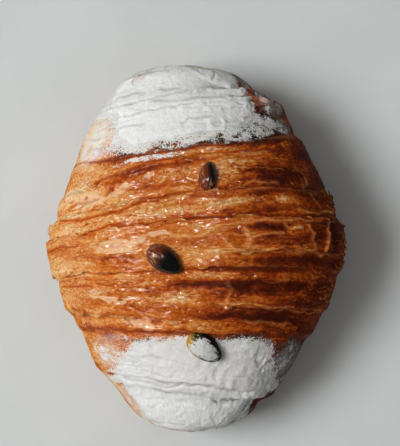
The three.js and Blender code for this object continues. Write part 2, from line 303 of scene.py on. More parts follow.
# Ridges of thin skin that stand up, each by its height, its half width and its places.
RIDGES = [
    (0.6, 0.5, [(8, 6), (14, 6.6), (21, 7.2), (30, 7.8), (38, 7.7), (59, 8.2)]),
    (0.75, 0.6, [(59, 8.2), (56.5, 2.5), (54, -4.1)]),
    (0.35, 0.42, [(4, -3.4), (13, -2.9), (20, -3.6), (31, -3), (40, -3.3), (43, -2.6), (54, -4.1)]),
    (0.7, 0.8, [(18, 4.6), (19, 2.8), (20.4, 0.9), (18.5, -0.6)]),
    (0.5, 0.5, [(20.4, 1.6), (24, 2.6), (29, 2.9), (33, 2.6)]),
    (0.5, 0.5, [(33.5, 7.5), (35.3, 5.3), (37.6, 4.7), (42, 4.9)]),
    (0.5, 0.6, [(8, 3), (10.5, 0.4), (13.2, -2.8)]),
    (0.5, 0.6, [(46, 6), (48, 3), (46.5, 0.2), (48, -2.4)]),
    (0.4, 0.5, [(44, 11.4), (50, 10.9), (66, 11.8), (84, 13.1)]),
    (0.5, 0.7, [(-6, 2.4), (-2, 2.2), (3, 3.4), (6, 5.6)]),
    (0.3, 0.5, [(51, 25), (56, 23.6), (57, 21), (52, 19.6)]),
    (0.35, 0.5, [(22, 19.8), (26, 20.8), (30, 19.9), (37, 19.4)]),
    (0.4, 0.5, [(10, -20.7), (24, -20.6), (38, -20.8), (52, -20.8), (70, -21)]),
    (0.3, 0.45, [(20, -26.6), (34, -26.2), (50, -26.4)]),
    (0.4, 0.5, [(12, -13.4), (14, -16), (12, -19.6)]),
    (0.25, 0.5, [(2, -16), (6, -17), (11, -15.8)]),
    (0.35, 0.5, [(52, 19.6), (56, 16), (60, 12.8)]),
    (0.45, 0.6, [(-41, 3.4), (-33, 2.2), (-26, 3.8), (-21, 1.2)]),
    (0.4, 0.6, [(-40, -0.8), (-32, -1.6), (-24, -0.6)]),
]
# Small holes torn in the skin, by middle and half sizes.
TEARS = [
    (8.2, -45.5, 1.4, 0.7),
    (27.3, -45.5, 1.5, 0.8),
    (24, -36.6, 1.2, 0.9),
    (22.6, -50, 0.8, 0.6),
    (16.9, -72, 1.2, 0.9),
]
CREASE_HALF_WIDTH = 0.5
BANK_SHARE = 0.4
BANK_HALF_WIDTH = 1.4
CRACK_HALF_WIDTH = 0.42
SCORCH_HALF_WIDTH = 1.1
RIDGE_GAIN = 1.1
RIDGE_NARROWING = 0.9
TEAR_DEPTH = 0.9
TEAR_DARKNESS = 1.3

round_place = angle * GIRTH_RADIUS + 0.5 * dough_noise(5, 4, 16)
along_place = row + waves((0.5, 6, 4, 17), (0.22, 2.2, 2.2, 18))


def distance_to(line):
    nearest = np.full(grid_shape, np.inf)
    for (first_degrees, first_row), (last_degrees, last_row) in zip(line, line[1:]):
        run_round = math.radians(last_degrees - first_degrees) * GIRTH_RADIUS
        run_along = last_row - first_row
        off_round = round_place - math.radians(first_degrees) * GIRTH_RADIUS
        off_along = along_place - first_row
        share = (off_round * run_round + off_along * run_along) / (run_round ** 2 + run_along ** 2)
        share = np.clip(share, 0, 1)
        away = np.hypot(off_round - share * run_round, off_along - share * run_along)
        nearest = np.minimum(nearest, away)
    return nearest


creases = np.zeros(grid_shape)
ridges = np.zeros(grid_shape)
cracks = np.zeros(grid_shape)
scorch = np.zeros(grid_shape)
for depth, darkness, line in CREASES:
    away = distance_to(line)
    creases += depth * (BANK_SHARE * bell(away, BANK_HALF_WIDTH) - bell(away, CREASE_HALF_WIDTH))
    cracks = np.maximum(cracks, darkness * bell(away, CRACK_HALF_WIDTH))
    scorch = np.maximum(scorch, darkness * bell(away, SCORCH_HALF_WIDTH))
for height, half_width, line in RIDGES:
    ridge = RIDGE_GAIN * height * bell(distance_to(line), RIDGE_NARROWING * half_width)
    ridges = np.maximum(ridges, ridge)
for tear in TEARS:
    creases -= TEAR_DEPTH * patch(*tear)
    cracks = np.maximum(cracks, TEAR_DARKNESS * patch(*tear))

# Blisters in the skin: clusters of small domes, each by its middle, its spread and its number of domes.
BLISTER_CLUSTERS = [
    (25, -25, 13, 3, 40),
    (14.5, 18, 14, 3, 26),
    (-20, -34, 9, 3.5, 18),
    (-15, 4, 20, 4, 26),
    (27, 22, 14, 3, 26),
    (-24, 20, 16, 3, 14),
    (13, -16, 12, 3, 20),
]
BLISTER_SCATTER = 0.6
BLISTER_RADII = (0.6, 1.6)
BLISTER_HEIGHTS = (0.25, 0.5)
BLISTER_LENGTHENING = 1.4
BLISTER_ROUNDNESS = 1.2
BLISTER_SEED = 7
rng = np.random.default_rng(BLISTER_SEED)
blisters = np.zeros(grid_shape)
for at_row, at_degrees, round_spread, along_spread, count in BLISTER_CLUSTERS:
    for _ in range(count):
        middle_row = at_row + along_spread * rng.normal() * BLISTER_SCATTER
        middle_round = math.radians(at_degrees) * GIRTH_RADIUS
        middle_round += round_spread * rng.normal() * BLISTER_SCATTER
        radius = rng.uniform(*BLISTER_RADII)
        around = (angle * GIRTH_RADIUS - middle_round) / BLISTER_LENGTHENING
        dome = np.clip(1 - (np.hypot(around, row - middle_row) / radius) ** 2, 0, 1) ** BLISTER_ROUNDNESS
        blisters = np.maximum(blisters, rng.uniform(*BLISTER_HEIGHTS) * dome)

# A loose panel of skin on the right of the crown, crinkled as it dried, and other crinkled places.
CRINKLE_HEIGHT = 0.4
PANEL_LIFT = 0.5
panel = smooth_ramp(along_place, -3.9, -3.1) * smooth_ramp(-along_place, -8.4, -7.4)
panel *= smooth_ramp(degrees + 5 * dough_noise(9, 5, 12), 5, 12) * smooth_ramp(-degrees, -61, -58)
crinkle = 1 - 3.2 * np.abs(dough_noise(7, 4.2, 13)) + 0.6 * dough_noise(3.2, 2.2, 14)
crinkled = panel + 0.5 * patch(1.5, -28, 10, 4) + 0.4 * patch(-20, -38, 9, 4)
crinkled += 0.4 * patch(-14, 20, 30, 5) + 0.4 * patch(22, 36, 16, 6)

# Places where the top skin has come off and bares the smooth, pale dough, partly painted as the glaze's
# sheen and glints, by middle and half sizes.
PEELED_AND_SHEEN = [
    (1.2, -29, 9.5, 3.6),
    (4.6, -14, 3, 2.4),
    (21.5, -47, 7, 2.6),
    (-18.4, -45, 4.4, 1.3),
    (-20.8, -39, 5, 1.5),
    (-22.2, -33, 3, 0.9),
    (-28.8, -25, 7, 1.6),
    (24.4, -28, 3.2, 1.2),
    (22.6, -34, 3, 1.1),
    (26.4, -20, 2.6, 1),
    (27.6, -27, 3.2, 0.9),
    (-16.4, -22, 3, 1),
    (-20.6, -27, 3.4, 1.1),
]
# Bands where small bubbles in the glazed skin have burst and left it grainy and pale; the pale specks are
# partly painted glints.
FROTHY = [
    (12.4, -17, 15, 2.6),
    (14.5, 18, 14, 2.6),
    (-11.4, 12, 13, 1.5),
    (28, 20, 8, 1.5),
    (22.6, -30, 9, 1.6),
    (-22.6, -22, 9, 1.4),
    (15, 38, 6, 1.6),
    (25, -22, 13, 2.4),
    (23.5, 12, 8, 2.4),
    (-14, -26, 10, 2),
    (-19, -8, 12, 2.2),
]
PEEL_DEPTH = 0.18


def strongest(patches):
    return np.max([patch(*spot) for spot in patches], axis=0)


peeled_and_sheen = np.clip(strongest(PEELED_AND_SHEEN) + waves((0.4, 4.5, 2.4, 40), (0.25, 1.8, 1.1, 41)), 0, 1)
peeled_and_sheen = peeled_and_sheen * (1 - 0.8 * smooth_ramp(degrees, 30, 50))
froth_and_glints = strongest(FROTHY)
froth_and_glints = np.clip(froth_and_glints + 0.5 * dough_noise(6, 2.4, 42) * froth_and_glints, 0, 1)

BLISTER_SHARE = 0.7
on_crust = smooth_ramp(np.cos(angle), RELIEF_GONE, RELIEF_FULL)
off_ends = smooth_ramp(SHOULDER + 1 - np.abs(row), 0, 6)
terrace_share = np.clip(0.5 + 1.1 * dough_noise(24, 9, 19), 0.05, 1.0)
terrace_share = terrace_share * (1 - 0.6 * smooth_ramp(np.abs(degrees), 60, 80)) * (1 - 0.8 * on_stubs)
fine_relief = LEAF_STEP * leaf_strength * (within_leaf - 0.5) + BLISTER_SHARE * blisters + creases + ridges
fine_relief += waves((0.75, 27, 11, 4), (0.17, 7, 2.6, 5), (0.05, 2.2, 1.4, 6))
fine_relief += CRINKLE_HEIGHT * crinkled * crinkle + PANEL_LIFT * panel - PEEL_DEPTH * peeled_and_sheen
wander = waves((0.9, 26, 14, 8), (0.7, 9, 8, 9), (0.35, 3.5, 5, 10))
wander = wander * off_ends * (1 - 0.6 * smooth_ramp(np.abs(degrees), 80, 104))

# The edges come and go round the roll and are rounder on the flanks. Those of the two tips are soft on the
# left and rounded on the far right.
EDGE_SHARE = 0.8
EDGE_UNEVENNESS = 0.9
EDGE_STRETCH = 15
EDGE_SEED_STEP = 9.1
FLANK_SOFTNESS = 1.3
TIP_SOFTNESS = 4.5
TIP_ROUNDING = 1.8
TIP_LOSS = 0.55


def edge_share(number):
    if abs(TURN_EDGES[number]["at"]) > TIPS_FROM:
        return 1 - TIP_LOSS * (1 - smooth_ramp(degrees, -30, 30))
    places = [(a * GIRTH_RADIUS / EDGE_STRETCH, 0, EDGE_SEED_STEP * number) for a in roll_angles.tolist()]
    return np.clip(EDGE_SHARE + EDGE_UNEVENNESS * noise_at(np.array([places])), 0.15, 1.15)


softness = EDGE_HALF_GAP + FLANK_SOFTNESS * smooth_ramp(np.abs(degrees), 50, 75)
tip_softness = EDGE_HALF_GAP + TIP_SOFTNESS * (1 - smooth_ramp(degrees, 0, 40))
tip_softness += TIP_ROUNDING * smooth_ramp(degrees, 52, 78)
turns, terraces = edge_relief(row, angle, softness, tip_softness, edge_share)
relief = turns + terrace_share * terraces + on_crust * off_ends * fine_relief

# The two ends are the last turns of the dough, wound in a spiral.
END_WINDINGS = 3.2
END_GROOVE = 1.3
winding = END_WINDINGS * end_share + angle / (2 * math.pi) + 0.12 * dough_noise(16, 30, 15)
within_winding = winding - np.floor(winding)
past_shoulder = smooth_ramp(np.abs(row), SHOULDER - 0.5, SHOULDER + 2)
on_end = 1 - smooth_ramp(end_share, 0.1, 0.65)
end_relief = END_GROOVE * past_shoulder * within_winding * smooth_ramp(end_share, 0, 0.15)

# Without its fine relief the roll is centred on the solid, and its foot is flat.
surface = roll_surface(row, angle, relief, wander)
surface[..., 1] -= np.sign(row) * end_relief
even_relief = sum(edge_relief(row, angle, EDGE_HALF_GAP, EDGE_HALF_GAP, lambda number: 1.0))
plain_surface = roll_surface(row, angle, even_relief, 0 * row).reshape(-1, 3)
roll_low, roll_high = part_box("croissant")
plain_middle = (plain_surface.max(0) + plain_surface.min(0)) / 2
surface[..., 0] += (roll_low.x + roll_high.x) / 2 / MM - plain_middle[0]
surface[..., 1] += (roll_low.y + roll_high.y) / 2 / MM - plain_middle[1]
surface[..., 2] = np.maximum(surface[..., 2], 0)

# How the oven has coloured the crust, and where painted shade darkens it under the sugar on the right
# of both ends: each patch by its middle, its half sizes along and across the lines, and how much darker or
# paler it is.
TONE_AND_SHADE_PATCHES = [
    (28.6, -24, 13, 1, 0.18),
    (24, -58, 14, 6, -0.1),
    (25.2, -29, 9, 2.2, 0.26),
    (22, -16, 12, 1.6, 0.16),
    (23.2, 37, 8, 3.4, 0.34),
    (22.5, 56, 8, 5, 0.12),
    (26, 44, 4, 1.6, -0.12),
    (17.5, 52, 10, 4, 0.18),
    (-14.4, 18, 30, 2, 0.34),
    (-16, 15, 8, 2, 0.2),
    (-11.2, 14, 18, 1.6, -0.12),
    (-18.2, 24, 5, 2, -0.14),
    (-20, 0, 30, 8, 0.09),
    (22, -34, 16, 6, -0.06),
    (-24.6, 27, 22, 1.9, 0.40),
    (-21.5, 44, 12, 3, 0.25),
    (-31.5, -13, 18, 1.6, 0.26),
    (-33.5, -46, 6, 3, 0.22),
    (-9.4, 2, 24, 1.2, 0.20),
    (5.4, 25, 5, 1.3, 0.60),
    (2, 49, 4, 5, 0.24),
    (2, 63, 3.6, 6, 0.3),
    (0.5, 33, 5, 2.6, -0.14),
    (4, 42, 3, 3.6, -0.10),
    (1.2, 19, 3, 1.8, -0.16),
    (-6, 34, 20, 1.8, 0.24),
    (9.6, 4, 14, 1.3, 0.16),
    (0.4, -62, 5, 2.4, 0.16),
    (20.5, 8, 12, 1.8, 0.14),
    # Under the sugar on the right of the high end: partly the crust's own tone, partly painted shade.
    (40, 38, 16, 4.5, 0.9),
    (36.8, 7, 32, 2.6, 0.6),
    # The low tip's right side: painted shade over dark crust.
    (-60, 60, 10, 8, 0.8),
    (62, 62, 7, 5, 0.1),
    (50, 58, 9, 6, -0.1),
    # The low end's right side under the sugar: partly dark crust, partly painted shade.
    (-40, 58, 9, 9, 0.45),
    (-46, 68, 9, 4, 0.4),
    (43, -60, 12, 8, -0.26),
    (-60, -66, 9, 8, -0.16),
    (-42, -56, 9, 6, -0.1),
]
USUAL_TONE = 0.425
END_TONE = 0.45
mottle = 1 + 0.8 * dough_noise(6, 2.2, 26)
browning_and_shade = USUAL_TONE + 0.12 * scorch + 0.1 * leaf_tone
browning_and_shade += waves((0.2, 30, 6, 20), (0.1, 10, 3, 21), (0.05, 3.4, 1.6, 25))
browning_and_shade += mottle * sum(darker * patch(*spot) for *spot, darker in TONE_AND_SHADE_PATCHES)
# From the crown to the right flank, away from the window, the crust is painted darker as shade.
browning_and_shade += 0.235 * smooth_ramp(degrees, 0, 36) + 0.2 * smooth_ramp(degrees, 45, 75)
browning_and_shade -= 0.11 * smooth_ramp(-degrees, 25, 65) + 0.16 * froth_and_glints
browning_and_shade += 0.14 * np.clip(-crinkle, 0, 1) * crinkled + 0.07 * panel
browning_and_shade -= 0.08 * np.clip(ridges / 0.5, 0, 1) + 0.06 * blisters / 0.5
browning_and_shade += on_end * (END_TONE + 0.5 * dough_noise(9, 9, 70) - browning_and_shade)

# Beyond an edge the dough is bared and cracked, and the lip of the edge, like the top of each ridge,
# is painted pale as a highlight, more strongly on the right.
BARED_WIDTH = 1.6
bared = np.zeros(grid_shape)
edge_cracks = np.zeros(grid_shape)
lit_lips = np.clip(ridges / 0.45, 0, 1)
for number, edge in enumerate(TURN_EDGES):
    first, last = edge["shows"]
    beyond = (row - edge["at"]) * (-1 if edge["at"] < 0 else 1)
    shown = smooth_ramp(degrees, first - 1, first + EDGE_FADE)
    shown = shown * smooth_ramp(-degrees, -last - 1, -last + EDGE_FADE)
    bared += shown * np.where(beyond > 0, np.exp(-beyond / BARED_WIDTH), 0)
    edge_cracks = np.maximum(edge_cracks, shown * bell(beyond - 0.3, 0.5))
    lip = bell(beyond + 0.35, 0.45) * between(degrees, first, last)
    lit_lips = np.maximum(lit_lips, lip * np.clip(0.1 + 1.8 * dough_noise(9, 9, 60 + number), 0, 1))
lit_lips = lit_lips * (1 + 1.4 * smooth_ramp(degrees, 8, 30))
browning_and_shade -= 0.08 * np.clip(bared, 0, 1)
leaf_cracks = leaf_strength * np.exp(-within_leaf / 0.15) * smooth_ramp(dough_noise(15, 3, 22), 0, 0.4)
edge_cracks *= np.clip(0.5 + 1.3 * dough_noise(8, 8, 23), 0, 1)
cracks = np.clip(np.max([cracks, edge_cracks, 0.7 * leaf_cracks], axis=0), 0, 1) * (1 - on_end)
cracks = np.maximum(cracks, 0.8 * past_shoulder * bell(within_winding, 0.12))

# The glaze was brushed on from above and has dried dull in the dark valleys.
dark_valleys = 0.85 * smooth_ramp(browning_and_shade, 0.52, 0.74) * smooth_ramp(degrees, -40, -10)
low_valley = 0.9 * patch(-14, 4, 16, 1.8)
glaze = np.clip(0.85 + 0.8 * dough_noise(10, 4, 24) + 0.3 * peeled_and_sheen, 0, 1)
for dull in (
    smooth_ramp(degrees, 26, 50), smooth_ramp(-degrees, 46, 74), dark_valleys, 0.8 * cracks, low_valley,
):
    glaze = glaze * (1 - dull)
bubbles = np.clip(0.1 + 1.7 * dough_noise(12, 3.5, 50), 0, 1)
bubbles = np.maximum(bubbles * (1 - 0.5 * smooth_ramp(np.abs(degrees), 45, 75)), froth_and_glints)
crinkles = smooth_ramp(degrees + 12 * dough_noise(14, 8, 51), -4, 16)
crinkles = crinkles * np.clip(0.55 + 1.2 * dough_noise(13, 7, 52), 0, 1)

# Sifted sugar falls straight down on both ends. The outline of the dense sugar of each end, as degrees from
# the crown and rows, follows the layer lines next to the middle of the roll and leaves the flanks.
DENSE_SUGAR = [
    [
        (-112, 56), (-84, 48.5), (-60, 46.5), (-50, 45), (-48, 41), (-54, 38), (-52, 36), (-41, 35.4),
        (-33, 34.7), (-19, 34.1), (3, 34.2), (16, 33.9), (30, 34.3), (40, 35), (48, 35.8), (56, 38.5),
        (57, 42), (48, 44.5), (42, 46.5), (43, 51.5), (45, 57), (53, 61.2), (64, 66), (80, 76), (-112, 76),
    ],
    [
        (-74, -76), (-70, -66), (-58, -60), (-60, -57), (-76, -54), (-72, -49), (-56, -45.5), (-50, -41.5),
        (-42, -39), (-35, -36.2), (-29, -33.8), (-17, -32.8), (-5, -31.6), (13, -32.2), (22, -31.8),
        (39, -31.9), (48, -36), (55, -41), (68, -45.6), (80, -48), (70, -51), (62, -53), (64, -54.4),
        (74, -58.4), (78, -63.8), (80, -76),
    ],
]
# Places beside it where a little sugar fell: each by middle, half sizes and how much of the crust it covers.
THIN_SUGAR = [
    (32.6, -12, 22, 1.7, 0.68),
    (40, -58, 10, 7, 0.68),
    (-41, -54, 12, 6.5, 0.72),
    (-35, -36, 12, 2.2, 0.45),
    (-50, -72, 9, 6, 0.3),
    (-60, -66, 8, 7, 0.42),
    (-38, 60, 10, 7, 0.5),
    (-46, 68, 9, 4, 0.5),
    (-60, 46, 8, 6, 0.55),
    (51, 57, 11, 7, 0.66),
    (39, 60, 7, 4, 0.55),
    (62, 62, 7, 5, 0.55),
]
# Places inside it where the sugar is thinner: each by middle, half sizes and how much of it is missing.
WORN_SUGAR = [
    (40, 38, 15, 3.6, 0.42),
    (37.2, 9, 31, 2.5, 0.5),
    (-60, 58, 9, 8, 0.5),
    (-40, 50, 7, 9, 0.34),
    (-56, -66, 9, 4, 0.4),
    (43, 22, 8, 2, 0.2),
    (65.6, -42, 5, 3, 0.55),
    (-36, 40, 5, 5, 0.3),
    (-40, -34, 5, 4, 0.22),
    (-35, -8, 14, 1.2, 0.25),
]
# Places under a grainy veil of the finest sugar, which the crust shows through.
SUGAR_VEIL = [
    (41, -60, 12, 7, 0.76),
    (46, -57, 9, 5, 0.72),
    (49, -74, 11, 6, 0.66),
    (-60, -66, 9, 7, 0.4),
    (-42, -52, 11, 6, 0.42),
    (65.6, -42, 5, 3, 0.4),
    (-60, 54, 10, 7, 0.22),
    (60, 66, 10, 8, 0.46),
    (-46, 72, 9, 4, 0.15),
    (52, 60, 11, 7, 0.46),
    (40, 64, 8, 4, 0.3),
    (-40, 64, 12, 7, 0.34),
    (-36, -44, 14, 3, 0.26),
]
SUGAR_FADE = 3.0
LEFT_FADE_GAIN = 1.2
ragged = waves((1.1, 8, 3.5, 30), (1.2, 2.4, 1.9, 31)) * (1 + 1.2 * smooth_ramp(degrees, 35, 60))
patchy = np.clip(0.7 + waves((1.0, 6, 4, 36), (0.9, 2.4, 1.8, 37)), 0, 1.3)
place_degrees = np.degrees(round_place / GIRTH_RADIUS)
fade = SUGAR_FADE * (1 + LEFT_FADE_GAIN * smooth_ramp(-degrees, 25, 45))


def spread_over(patches):
    return np.max([share * smooth_ramp(patch(*spot), 0.1, 0.8) for *spot, share in patches], axis=0)


dense = np.zeros(grid_shape)
for outline in DENSE_SUGAR:
    inside = np.zeros(grid_shape, bool)
    for (first_degrees, first_row), (last_degrees, last_row) in zip(outline, outline[1:] + outline[:1]):
        crosses = (first_row > along_place) != (last_row > along_place)
        slope = (last_degrees - first_degrees) / ((last_row - first_row) or SMALLEST_SHARE)
        inside ^= crosses & (place_degrees < first_degrees + (along_place - first_row) * slope)
    within = np.where(inside, 1, -1) * distance_to(outline + outline[:1]) + ragged
    dense = np.maximum(dense, smooth_ramp(within / fade, -0.7, 1.3))
sugar = np.maximum(dense * (1 - patchy * spread_over(WORN_SUGAR)), patchy * spread_over(THIN_SUGAR))
sugar = np.clip(sugar * (1 - 0.8 * cracks * (1 - smooth_ramp(dense, 0.6, 0.95))), 0, 1) * (1 - 0.8 * on_end)
veil = spread_over(SUGAR_VEIL) * np.clip(0.85 + waves((0.9, 7, 4, 38), (0.5, 2.5, 1.8, 39)), 0.5, 1.2)
veil = np.clip(veil * (1 - 0.7 * cracks), 0, 1) * (1 - on_end)
glaze = glaze * (1 - np.clip(3 * veil, 0, 1))
crust_values = {
    "browning_and_shade": browning_and_shade, "cracks": cracks, "glaze": glaze, "peeled_and_sheen": peeled_and_sheen, "sugar": sugar, "lit_lips": lit_lips,
    "bubbles": bubbles, "veil": veil, "crinkles": crinkles,
}

MERGE_DISTANCE = 0.001
CRUST_SHARP_ANGLE = math.radians(62)


def set_attribute(mesh, name, values):
    kind, field = ("FLOAT_VECTOR", "vector") if values.ndim > 1 else ("FLOAT", "value")
    made = mesh.attributes.new(name, kind, "POINT")
    made.data.foreach_set(field, values.astype(np.float32).ravel())


def read_points(mesh):
    points = np.empty(len(mesh.vertices) * 3, np.float32)
    mesh.vertices.foreach_get("co", points)
    normals = np.empty(len(mesh.vertices) * 3, np.float32)
    mesh.vertex_normals.foreach_get("vector", normals)
    return points.reshape(-1, 3), normals.reshape(-1, 3)


def turn_faces_outward():
    bpy.ops.object.mode_set(mode="EDIT")
    bpy.ops.mesh.select_all(action="SELECT")
    bpy.ops.mesh.normals_make_consistent(inside=False)
    bpy.ops.object.mode_set(mode="OBJECT")


bpy.ops.object.select_all(action="DESELECT")
bpy.ops.mesh.primitive_grid_add(
    x_subdivisions=len(roll_angles) - 1, y_subdivisions=len(roll_rows) - 1, size=2, location=(0, 0, 0)
)
crust = bpy.context.object
crust.name = "crust"
grid_points = read_points(crust.data)[0]
column_of = np.rint((grid_points[:, 0] + 1) / 2 * (len(roll_angles) - 1)).astype(int)
row_of = np.rint((grid_points[:, 1] + 1) / 2 * (len(roll_rows) - 1)).astype(int)
crust.data.vertices.foreach_set("co", (surface[row_of, column_of] * MM).ravel())
for name, values in crust_values.items():
    set_attribute(crust.data, name, values[row_of, column_of])
set_attribute(crust.data, "dough_place", dough_place[row_of, column_of])
bpy.ops.object.mode_set(mode="EDIT")
bpy.ops.mesh.select_all(action="SELECT")
bpy.ops.mesh.remove_doubles(threshold=MERGE_DISTANCE * MM)
bpy.ops.object.mode_set(mode="OBJECT")
turn_faces_outward()
bpy.ops.object.shade_smooth_by_angle(angle=CRUST_SHARP_ANGLE)

# Falling sugar keeps off what is steep.
crust_points, crust_normals = read_points(crust.data)
lying_sugar = np.empty(len(crust_points), np.float32)
crust.data.attributes["sugar"].data.foreach_get("value", lying_sugar)
lying_sugar = lying_sugar * smooth_ramp(crust_normals[:, 2], -0.25, 0.15)
crust.data.attributes["sugar"].data.foreach_set("value", lying_sugar)


def to_linear(hex_colour):
    shares = [int(hex_colour[k:k + 2], 16) / 255 for k in (1, 3, 5)]
    return (*(s / 12.92 if s <= 0.04045 else ((s + 0.055) / 1.055) ** 2.4 for s in shares), 1.0)


def new_finish(name):
    made = bpy.data.materials.new(name)
    made.use_nodes = True
    made.node_tree.nodes.clear()
    return made


# Inputs go by name, or in the node's own order. For a node of the kind MapRange that order is the value, the
# two ends it comes from and the two ends it goes to.
def add_node(tree, kind, inputs, output=0, **settings):
    made = tree.nodes.new("ShaderNode" + kind)
    for name, value in settings.items():
        setattr(made, name, value)
    for name, value in inputs.items() if isinstance(inputs, dict) else enumerate(inputs):
        if isinstance(value, bpy.types.NodeSocket):
            tree.links.new(value, made.inputs[name])
        else:
            made.inputs[name].default_value = value
    return made.outputs[output] if made.outputs else made


LAST_STOP = 0.999


def set_stops(ramp, stops):
    places = list(stops)
    ramp.elements[0].position = places[0]
    ramp.elements[1].position = min(places[-1], LAST_STOP)
    for place in places[1:-1]:
        ramp.elements.new(place)
    for element, place in zip(ramp.elements, places):
        element.color = to_linear(stops[place])


# Baked crust under a thin glaze: caramelised brown to pale straw in mottled bands along the layers, dark
# red-brown in the cracks, cream where the skin has peeled, and shiny where the glaze lies thick. The pale
# lips, fold lips, peeled spots and froth carry painted highlights, and the dark fold lines and the right
# flank carry painted shade. Dusted sugar dulls it white.
CRUST_TONES = {
    0.0: "#f0d0aa", 0.2: "#e0a868", 0.42: "#ca6d21", 0.62: "#a4430e", 0.8: "#70280d", 1.0: "#48180a",
}
PEELED_AND_SHEEN_COLOUR = "#f2d3bd"
LIT_LIP_COLOUR = "#dc9c60"
SUGAR_COLOUR = "#dddbd8"
DUSTED_CRUST_AND_SHADE_COLOUR = "#3f342d"
# Its patterns, each by its sizes round and along the roll and its settings.
LINE_SETTINGS = {"Detail": 3, "Roughness": 0.55, "Distortion": 0.2}
CRUST_PATTERNS = {
    "streaks": (12, 1.3, {"Detail": 3}),
    "grain": (1.3, 0.8, {"Detail": 4, "Roughness": 0.6}),
    "fibres": (5, 0.7, {"Detail": 4, "Roughness": 0.65}),
    "froth": (0.75, 0.6, {"Detail": 3, "Roughness": 0.65}),
    "rags": (4.5, 2.6, {"Detail": 4, "Distortion": 0.8}),
    "gaps": (9, 2.2, {"Detail": 2}),
    "wrinkles": (3.2, 1.5, {"Detail": 0.5, "Distortion": 0.8}),
    "folds": (34, 5, LINE_SETTINGS),
    "stacks": (24, 3.4, LINE_SETTINGS),
}
TORN_LEAF_SIZES = (9, 9, 3)
BEAD_SIZES = (2.8, 2.8, 2)
# How much each makes the crust darker or paler (the lip, fold-lip and bead tones are painted highlights),
# and the tones of bare dough and of cracks.
STREAK_TONE = 0.25
GRAIN_TONE = 0.8
BEAD_GLINT_TONE = -0.12
LIT_LIP_TONE = -0.07
FOLD_HIGHLIGHT_TONE = -0.1
PEELED_AND_SHEEN_TONE = 0.14
CRACK_TONE = 0.92
CRACK_SHARE = 0.58
FOLD_SHADE_SHARE = 0.42
SUGAR_GRAIN = 0.55
SUGAR_ROUGHNESS = 0.95
SKIN_DEPTH = 0.9
GLAZE_DEPTH = 0.6

crust_finish = new_finish("glazed_baked_crust")
tree = crust_finish.node_tree
place = add_node(tree, "Attribute", {}, "Vector", attribute_name="dough_place")
object_place = add_node(tree, "TexCoord", {}, "Object")
read = {name: add_node(tree, "Attribute", {}, "Fac", attribute_name=name) for name in crust_values}
pattern = {}
for name, (round_size, along_size, settings) in CRUST_PATTERNS.items():
    scale = (1 / round_size, 1 / round_size, 1 / along_size)
    sized_place = add_node(tree, "Mapping", {"Vector": place, "Scale": scale})
    pattern[name] = add_node(tree, "TexNoise", {"Vector": sized_place, "Scale": 1, **settings})

# Torn leaves of skin, each a little darker or paler than the next.
leaf_place = add_node(tree, "Mapping", {"Vector": place, "Scale": [1 / size for size in TORN_LEAF_SIZES]})
leaf_edges = {"Vector": leaf_place, "Scale": 2.2, "Detail": 3, "Roughness": 0.6}
leaf_edges = add_node(tree, "TexNoise", leaf_edges, "Color")
leaf_place = add_node(tree, "Mix", {0: 0.35, 4: leaf_place, 5: leaf_edges}, 1, data_type="VECTOR")
leaf_cells = add_node(tree, "TexVoronoi", {"Vector": leaf_place, "Scale": 1.5}, "Color")
leaf_cells = add_node(tree, "SeparateColor", (leaf_cells,))
leaf_contrast = add_node(tree, "MapRange", (read["crinkles"], 0, 1, 0.08, 0.32))
leaf_step = add_node(tree, "Math", (leaf_cells, 0.5), operation="SUBTRACT")
leaf_step = add_node(tree, "Math", (leaf_step, leaf_contrast), operation="MULTIPLY")

# Beads of glaze and burst bubbles, whose paler tone is partly painted glints.
bead_place = add_node(tree, "Mapping", {"Vector": place, "Scale": [1 / size for size in BEAD_SIZES]})
beads = add_node(tree, "TexVoronoi", {"Vector": bead_place, "Scale": 1}, "Distance")
beads = add_node(tree, "MapRange", (beads, 0.08, 0.6, 1, 0), interpolation_type="SMOOTHSTEP")
beads = add_node(tree, "Math", (beads, read["bubbles"]), operation="MULTIPLY")
froth_glint_shift = add_node(tree, "MapRange", (pattern["froth"], 0.44, 0.72, 0.06, -0.28))
tone = read["browning_and_shade"]
for name, strength in (("streaks", STREAK_TONE), ("grain", GRAIN_TONE), ("fibres", read["crinkles"])):
    around_zero = add_node(tree, "Math", (pattern[name], 0.5), operation="SUBTRACT")
    tone = add_node(tree, "Math", (around_zero, strength, tone), operation="MULTIPLY_ADD")
for shift, strength in ((leaf_step, 1), (froth_glint_shift, read["bubbles"]), (beads, BEAD_GLINT_TONE)):
    tone = add_node(tree, "Math", (shift, strength, tone), operation="MULTIPLY_ADD")

# Rags of bare dough where the skin has peeled, pale partly as a painted sheen of the glaze.
bare_dough_and_sheen = add_node(tree, "Math", (pattern["rags"], 1.7, read["peeled_and_sheen"]), operation="MULTIPLY_ADD")
bare_dough_and_sheen = add_node(tree, "MapRange", (bare_dough_and_sheen, 1.28, 1.5))
thin_skin = add_node(tree, "MapRange", (pattern["grain"], 0.35, 0.62, 0.3, 0.95))
bare_dough_and_sheen = add_node(tree, "Math", (bare_dough_and_sheen, thin_skin), operation="MULTIPLY")
tone = add_node(tree, "Mix", {0: bare_dough_and_sheen, 2: tone, 3: PEELED_AND_SHEEN_TONE}, data_type="FLOAT")
tone = add_node(tree, "Math", (read["lit_lips"], LIT_LIP_TONE, tone), operation="MULTIPLY_ADD")

